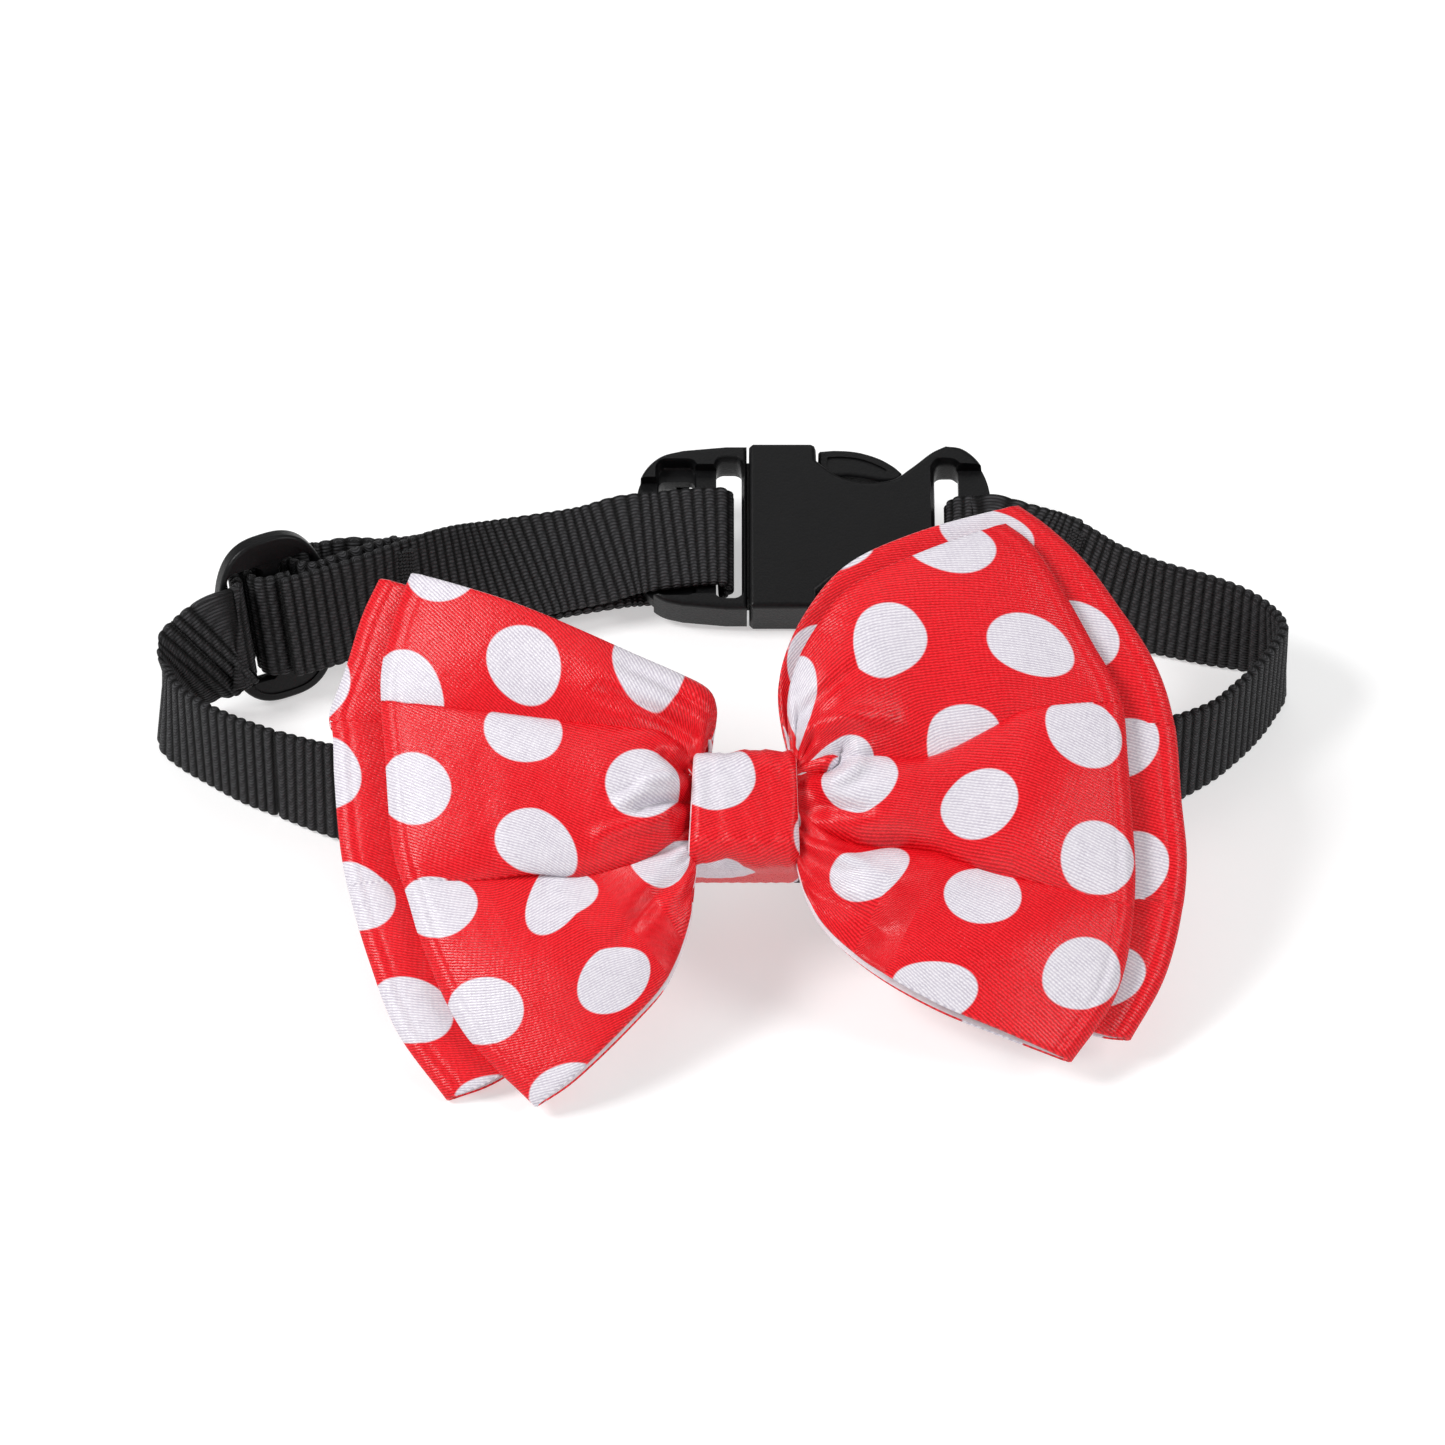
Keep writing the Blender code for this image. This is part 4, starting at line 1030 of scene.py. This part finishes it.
REAR_RIGHT = Wing(
    lower=[(47.9, -28.7), (43.9, -28.0), (33.3, -24.6), (21.5, -20.0), (13.7, -15.3), (8.8, -10.8),
           (6.2, -5.6)],
    low_pleat=[(54.8, -11.6), (39.4, -9.8), (21.7, -5.9), (6.2, -1.9)],
    high_pleat=[(54.2, 12.0), (39.7, 11.9), (21.8, 8.9), (6.2, 3.7)],
    upper=[(34.7, 41.0), (23.0, 37.4), (13.3, 33.0), (7.8, 26.6), (4.9, 19.9), (4.5, 14.0), (6.2, 5.8)],
    outer=[(47.9, -28.7), (52.2, -21.3), (54.6, -13.5), (55.5, -5.8), (54.9, 2.1), (54.1, 12.6),
           (51.7, 20.6), (46.7, 28.6), (42.9, 33.9), (38.3, 38.4), (34.7, 41.0)],
    cloth={
        "bottom": [(0, 0.0)],
        "low_in": [(0, 19.0), (1, 32.0)], "low_out": [(0, 19.2), (1, 36.0)],
        "high_out": [(0, 43.5), (1, 52.0)], "high_in": [(0, 44.5), (1, 60.0)],
        "top": [(0, 79.0), (1, 82.0)],
    },
    tuck={"low": level(0.2, 0.4), "high": level(0.3, 1.0), "drop": 1.4},
    heights=REAR_HEIGHTS,
    dots={"in": 6.9, "up": 8.1},
)


def build_bow():
    plies = {
        "front_bow_face": layer_face("satin_front_face", (FRONT_LEFT, FRONT_RIGHT), 0.42, 4.7),
        "front_bow_back": layer_back("satin_front_back", (FRONT_LEFT, FRONT_RIGHT), 3.2, -0.5),
        "rear_bow_face": layer_face("satin_rear_face", (REAR_LEFT, REAR_RIGHT), 0.2, 1.3),
        "rear_bow_back": layer_back("satin_rear_back", (REAR_LEFT, REAR_RIGHT), -0.5, -2.6),
    }
    for node, obj in plies.items():
        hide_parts(node)
        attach(obj, "bow")


# ---------------------------------------------------------------- the centre wrap
WRAP_RADIUS, WRAP_THICK = 2.6, 0.7
WRAP_CORNERS = band_corners(6.65, -8.5, 6.1, WRAP_RADIUS)
WRAP_ROWS, WRAP_STEPS = 150, 31  # rows round the band, and samples across it
WRAP_REPEAT = 14.4  # mm round the band from one row of dots to the next


def build_wrap():
    """A turned band round both waists, with a soft crown and rolled edges."""
    outwards = turned([(0, 0, start) for _, _, start in WRAP_CORNERS], 1, 10)
    path = np.hstack([turned(WRAP_CORNERS, WRAP_RADIUS, 10), outwards])
    path = np.vstack([path, path[:1]])
    run = run_of(path[:, :2])
    at = np.linspace(0, run[-1], WRAP_ROWS, endpoint=False)
    path = np.stack([np.interp(at, run, path[:, k]) for k in range(4)], 1)
    points, uv = [], []
    for s, (y, n, dy, dn) in zip(at, path):
        x0, x1 = -6.9 + 0.055 * y, 6.6 - 0.035 * y
        front = smooth((n + 2) / 6)
        for outside, order in ((1, range(WRAP_STEPS)), (0, range(WRAP_STEPS - 1, -1, -1))):
            for k in order:
                f = 0.5 - 0.5 * math.cos(math.pi * k / (WRAP_STEPS - 1))
                x = x0 + (x1 - x0) * f
                # The band is pinched at the lower front and dips a little at the upper front.
                pinch = 0.95 * math.exp(-(((x + 1.7) / 1.5) ** 2)) * max(0.0, -dy)
                pinch += 0.45 * math.exp(-(((x + 3.0) / 2.4) ** 2)) * max(0.0, dy)
                pinch *= smooth((n - 1.5) / 2.5)
                crown = 0.55 * math.sin(math.pi * f) ** 0.7 * front
                edge = min(f, 1 - f) * (x1 - x0)
                hem = 0.22 * math.exp(-((edge - 0.9) / 0.8) ** 2) * front
                crease = 0.10 * math.sin(x * 1.9 + 0.35 * y) * front + 0.05 * math.sin(x * 4.3 - 0.5 * y)
                body = WRAP_THICK * (1 - 0.6 * math.exp(-edge / 0.25))
                rise = body + crown + hem + crease - 0.15 if outside else 0.05
                points.append(BOW.at(x, y + dy * (rise - pinch * outside), n + dn * rise))
                # Dots sit at the band's upper left and lower left; the print runs round the band.
                uv.append((x + 3.7, (s - 4.9) * (DOT_PITCH / WRAP_REPEAT)))
    ring = 2 * WRAP_STEPS
    last = (WRAP_ROWS - 1) * ring
    faces = grid_faces(WRAP_ROWS, ring, closed=True)
    faces += [[last + k, last + (k + 1) % ring, (k + 1) % ring, k] for k in range(ring)]
    # The cut edges show the cloth's pale reverse.
    hem = [int(face[0] % ring in (0, 1, WRAP_STEPS - 2)) for face in faces]
    obj = make("satin_centre_wrap", points, faces, [SATIN, LINING], uv, hem)
    fix_normals(obj)
    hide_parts("centre_wrap")
    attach(obj, "bow")


# ---------------------------------------------------------------- plastic
def inset(outline, amount):
    """The closed outline moved inwards (positive) by amount, for small amounts."""
    p = np.asarray(outline, float)
    before, after = np.roll(p, 1, axis=0), np.roll(p, -1, axis=0)
    area = 0.5 * (p[:, 0] * after[:, 1] - after[:, 0] * p[:, 1]).sum()
    e1, e2 = p - before, after - p
    e1 /= np.linalg.norm(e1, axis=1)[:, None]
    e2 /= np.linalg.norm(e2, axis=1)[:, None]
    n1 = np.stack([-e1[:, 1], e1[:, 0]], 1)
    n2 = np.stack([-e2[:, 1], e2[:, 0]], 1)
    mean = n1 + n2
    mean /= np.maximum((mean * n1).sum(1), 0.6)[:, None]
    return p + mean * amount * (1 if area > 0 else -1)


def prism(name, frame_of, outline, levels, shape=None):
    """A closed outline in (along, across) stacked at levels of (normal, inset)."""
    rings, m = [], len(outline)
    for n, amount in levels:
        ring = np.column_stack([inset(outline, amount), np.full(m, n)])
        rings.append(shape(ring) if shape else ring)
    faces = grid_faces(len(levels), m, closed=True)
    faces.append(list(range(m)))
    faces.append([(len(levels) - 1) * m + k for k in range(m)])
    obj = make(name, frame_of.points(np.vstack(rings)), faces, [PLASTIC], smooth_shading=False)
    fix_normals(obj)
    return obj


def block(name, frame_of, low, high):
    """A box between two local corners."""
    (x0, y0, z0), (x1, y1, z1) = low, high
    return prism(name, frame_of, [(x0, y0), (x1, y0), (x1, y1), (x0, y1)], [(z0, 0), (z1, 0)])


def rounded(x0, x1, half, radius):
    """A rounded rectangle from x0 to x1 and -half to half."""
    x0, x1, y = x0 + radius, x1 - radius, half - radius
    return turned([(x1, y, 0), (x0, y, 90), (x0, -y, 180), (x1, -y, 270)], radius, 8)


def both_sides(levels):
    """Levels given above the middle, after their mirror images below it."""
    return [(-n, amount) for n, amount in reversed(levels)] + levels


def applied(obj):
    """Applies the object's modifiers to its mesh."""
    bpy.context.view_layer.update()
    graph = bpy.context.evaluated_depsgraph_get()
    mesh = bpy.data.meshes.new_from_object(obj.evaluated_get(graph))
    obj.modifiers.clear()
    obj.data = mesh
    return obj


def combine(base, others, operation):
    """Base with the others joined to it or cut from it."""
    for other in others:
        m = base.modifiers.new("step", "BOOLEAN")
        m.operation, m.solver, m.object = operation, "EXACT", other
    applied(base)
    for other in others:
        bpy.data.objects.remove(other, do_unlink=True)
    return base


def soften(obj, width):
    """Rounds the moulding's sharp edges and shades it smooth."""
    bm = bmesh.new()
    bm.from_mesh(obj.data)
    bmesh.ops.remove_doubles(bm, verts=bm.verts, dist=2e-6)
    bmesh.ops.dissolve_limit(bm, angle_limit=math.radians(1.0), verts=bm.verts, edges=bm.edges)
    bm.to_mesh(obj.data)
    bm.free()
    m = obj.modifiers.new("bevel", "BEVEL")
    m.width, m.segments, m.limit_method, m.angle_limit = width * MM, 3, "ANGLE", math.radians(32)
    m.use_clamp_overlap, m.harden_normals, m.miter_outer = True, False, "MITER_ARC"
    applied(obj)
    obj.data.shade_smooth()
    obj.data.set_sharp_from_angle(angle=math.radians(38))
    m = obj.modifiers.new("normals", "WEIGHTED_NORMAL")
    m.keep_sharp = True
    return applied(obj)


def mirrored(points):
    """The outline's far half given from one end to the other, closed by its mirror image."""
    return list(points) + [(x, -y) for x, y in reversed(points) if abs(y) > 1e-6]


def curve(points, per=8):
    """A smooth outline through the points, as a list."""
    return [tuple(p) for p in spline(points, per)]


HALF, FACE = 12.15, 3.5
MOUTH_X = 3.6


def round_rim(face, radius, steps=5):
    """Levels of (normal, inset) for a plate of half thickness `face` with rounded edges."""
    out = []
    for sign in (-1, 1):
        for k in range(steps + 1):
            a = math.pi / 2 * (k / steps if sign > 0 else 1 - k / steps)
            out.append((sign * (face - radius + radius * math.sin(a)), radius * (1 - math.cos(a))))
    return out


def thin_tail(ring):
    """Thins the tail end of the female half towards its bar."""
    ring = ring.copy()
    ring[:, 2] *= 1 - 0.2 * np.clip((ring[:, 0] - 25) / 9, 0, 1)
    return ring


def female_buckle():
    cut_out = [(12.75, 9.7), (15.6, 7.5), (19.4, 6.5), (23.1, 6.9), (25.7, 8.7), (28.4, 11.0), (30.4, 12.1)]
    tail = [(30.4, 12.1), (32.6, 11.8), (34.6, 10.2), (35.9, 7.7), (36.5, 4.5), (36.7, 0.0)]
    far = [(MOUTH_X, HALF - 0.5), (MOUTH_X + 0.5, HALF), (12.0, HALF)]
    far += [(12.5, HALF - 0.25), (12.7, HALF - 0.8)] + curve(cut_out) + curve(tail)[1:]
    body = prism("moulded_female_buckle", BUCKLE, mirrored(far), round_rim(FACE, 0.7), shape=thin_tail)
    combine(
        body,
        [
            block("mouth", BUCKLE, (MOUTH_X - 1, -10.5, -2.2), (13.5, 10.5, 2.2)),
            block("arms", BUCKLE, (12.72, -14, -2.15), (25.6, 14, 2.15)),
            prism("slot", BUCKLE, rounded(28.8, 32.1, 9.6, 1.2),
                  both_sides([(1.7, 0), (2.3, -0.15), (2.9, -0.5), (5, -1.0)])),
            prism("bar_top", BUCKLE, rounded(30.3, 38.5, 9.15, 1.2), [(1.25, 0), (5, -0.6)]),
            prism("bar_low", BUCKLE, rounded(30.3, 38.5, 9.15, 1.2), [(-5, -0.6), (-1.25, 0)]),
        ],
        "DIFFERENCE",
    )
    return soften(body, 0.28)


def male_buckle():
    far = [(3.3, HALF - 0.1), (0.5, HALF - 0.1)]
    far += curve([(-5.4, 11.5), (-8.2, 10.7), (-10.2, 9.0), (-11.4, 6.6), (-11.8, 3.5)])
    body = prism("moulded_male_buckle", BUCKLE, mirrored(far), round_rim(2.9, 0.6))
    through = both_sides([(1.6, 0), (2.2, -0.3), (5, -0.45)])
    steps = (
        (-13.5, -6.1, -9.95, 7.4, 1.0, 5.0),
        (-13.5, -6.1, -9.95, 7.4, -5.0, -1.0),
        (-6.3, 0.9, -9.9, 9.3, 1.02, 5.1),
        (-6.3, 0.9, -9.9, 9.3, -5.1, -1.02),
    )
    combine(
        body,
        [
            prism("left_slot", BUCKLE, rounded(-8.7, -3.75, 7.9, 0.9), through),
            prism("recess", BUCKLE, rounded(-8.9, -3.55, 9.9, 1.2),
                  [(0.4, 0.25), (0.7, 0), (2.3, 0), (2.6, -0.15), (5, -0.9)]),
            prism("right_slot", BUCKLE, rounded(-0.85, 2.6, 10.25, 1.1), through),
            *(block(f"step_{k}", BUCKLE, (x0, w0, n0), (x1, w1, n1))
              for k, (x0, x1, w0, w1, n0, n1) in enumerate(steps)),
        ],
        "DIFFERENCE",
    )
    combine(
        body,
        [
            prism("plug", BUCKLE, rounded(2.9, 6.4, 10.1, 0.5), both_sides([(1.6, 0), (1.8, 0.2)])),
            prism("tongue", BUCKLE, rounded(6.0, 20.5, 1.8, 0.8), both_sides([(1.05, 0), (1.3, 0.25)])),
        ],
        "UNION",
    )
    return soften(body, 0.22)


def buckle_arm(where, side):
    inner = [(6.75, 7.2), (12.0, 7.7), (17.0, 8.2), (22.0, 7.4), (24.2, 7.6)]
    outer = [(24.4, 8.6), (23.2, 9.7), (21.2, 10.9), (18.4, 11.8), (15.6, 12.05), (13.3, 11.9)]
    outline = curve(inner, 6) + curve(outer, 8)
    outline += [(13.05, 11.6), (13.05, 9.9), (12.4, 9.45), (6.75, 9.2)]
    rim = both_sides([(1.45, 0), (1.7, 0.2), (1.8, 0.45)])
    arm = prism(f"moulded_buckle_arm_{where}", BUCKLE, [(x, side * w) for x, w in outline], rim)
    # A shallow finger pad is cut into the arm's top and its underside.
    pad = [(14.3, 10.9), (16.2, 11.0), (18.6, 10.7), (20.8, 9.9), (22.4, 8.9),
           (20.6, 8.6), (18.0, 8.9), (15.6, 8.7), (14.2, 9.4)]
    pad = [(x, side * w) for x, w in curve(pad + pad[:1], 5)[:-1]]
    pads = [
        prism(f"pad_{where}_{k}", BUCKLE, pad, [(low, 0), (low + 1.5, 0)])
        for k, low in enumerate((1.5, -3.0))
    ]
    return soften(combine(arm, pads, "DIFFERENCE"), 0.14)


def slider_plate():
    oval = []
    for k in range(96):
        c, s = math.cos(2 * math.pi * k / 96), math.sin(2 * math.pi * k / 96)
        oval.append((8.0 * math.copysign(abs(c) ** 0.72, c), 13.0 * math.copysign(abs(s) ** 0.86, s)))
    plate = prism("moulded_tri_glide", SLIDER, oval, round_rim(1.2, 0.55))
    through = both_sides([(0.4, 0), (0.7, -0.1), (1.2, -0.45), (3, -0.7)])
    glides = [
        prism(f"glide_{k}", SLIDER, rounded(x0, x1, 8.9, 1.3), through)
        for k, (x0, x1) in enumerate(((-5.9, -1.35), (1.35, 5.9)))
    ]
    combine(plate, glides, "DIFFERENCE")
    # A shallow step follows the rim of each end lobe.
    lobes = []
    for k, sign in enumerate((1, -1)):
        edge = [(x, y) for x, y in inset(oval, 1.25) if sign * y > 9.3]
        edge = sorted(edge, key=lambda p: p[0])
        lobe = edge + [(edge[-1][0] - 0.4, sign * 9.2), (edge[0][0] + 0.4, sign * 9.2)]
        lobes.append(prism(f"lobe_{k}", SLIDER, lobe, [(0.98, 0), (2.0, 0)]))
    combine(plate, lobes, "DIFFERENCE")
    return soften(plate, 0.2)


def build_plastic():
    pieces = {
        "female_buckle_body": (female_buckle(), "collar"),
        "male_buckle_frame": (male_buckle(), "male_side"),
        "male_buckle_arm_rear": (buckle_arm("rear", 1), "arm_rear"),
        "male_buckle_arm_front": (buckle_arm("front", -1), "arm_front"),
        "tri_glide_slider": (slider_plate(), "slider"),
    }
    for node, (obj, body) in pieces.items():
        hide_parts(node)
        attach(obj, body)


# ---------------------------------------------------------------- floor, light and camera
CAMERA_DISTANCE, CAMERA_RISE = 0.820, 45.0
FIELD_OF_VIEW = 13.40
PAPER_HALF, PAPER_GLOW, SKY_STRENGTH = 4.0, 0.48, 0.21
LIGHTS = (  # name, place, size and power of the area lights, which all face the middle of the paper
    ("left", (-0.75, -0.15, 0.85), 0.40, 10.0),
    ("right", (0.8, -0.25, 0.8), 0.40, 4.4),
    ("overhead", (0.0, 0.5, 0.95), 0.6, 1.6),
    ("front", (0.1, -0.95, 0.45), 0.4, 1.4),
)


def build_stage():
    n = Nodes("white_paper")
    n.set(Base=n.mix(n.noise(40, 3), (0.60, 0.60, 0.60), (0.62, 0.62, 0.62)), Roughness=0.9, Specular=0.1)
    n.shader.inputs["Emission Color"].default_value = (1, 1, 1, 1)
    n.shader.inputs["Emission Strength"].default_value = PAPER_GLOW
    mesh = bpy.data.meshes.new("floor")
    corners = [(x * PAPER_HALF, y * PAPER_HALF, 0) for x, y in ((-1, -1), (1, -1), (1, 1), (-1, 1))]
    mesh.from_pydata(corners, [], [(0, 1, 2, 3)])
    mesh.materials.append(n.material)
    floor = bpy.data.objects.new("floor", mesh)
    bpy.context.scene.collection.objects.link(floor)

    sky = bpy.data.worlds.new("studio")
    sky.use_nodes = True
    background = sky.node_tree.nodes["Background"]
    background.inputs["Color"].default_value = (1, 1, 1, 1)
    background.inputs["Strength"].default_value = SKY_STRENGTH
    bpy.context.scene.world = sky
    for name, place, size, power in LIGHTS:
        data = bpy.data.lights.new(name, "AREA")
        data.size, data.energy = size, power
        lamp = bpy.data.objects.new(name, data)
        lamp.location = place
        lamp.rotation_euler = (Vector() - Vector(place)).to_track_quat("-Z", "Y").to_euler()
        bpy.context.scene.collection.objects.link(lamp)

    aim = Vector(world((0, 0, 0)))
    tilt = math.radians(CAMERA_RISE)
    data = bpy.data.cameras.new("camera")
    data.sensor_fit, data.angle = "HORIZONTAL", math.radians(FIELD_OF_VIEW)
    data.clip_start, data.clip_end = 0.01, 20.0
    camera = bpy.data.objects.new("camera", data)
    camera.location = aim + CAMERA_DISTANCE * Vector((0, -math.cos(tilt), math.sin(tilt)))
    camera.rotation_euler = (math.pi / 2 - tilt, 0, 0)
    bpy.context.scene.collection.objects.link(camera)
    bpy.context.scene.camera = camera
    bpy.context.scene.view_settings.view_transform = "Standard"


build_stage()
build_plastic()
build_webbing()
build_threads()
build_bow()
build_wrap()
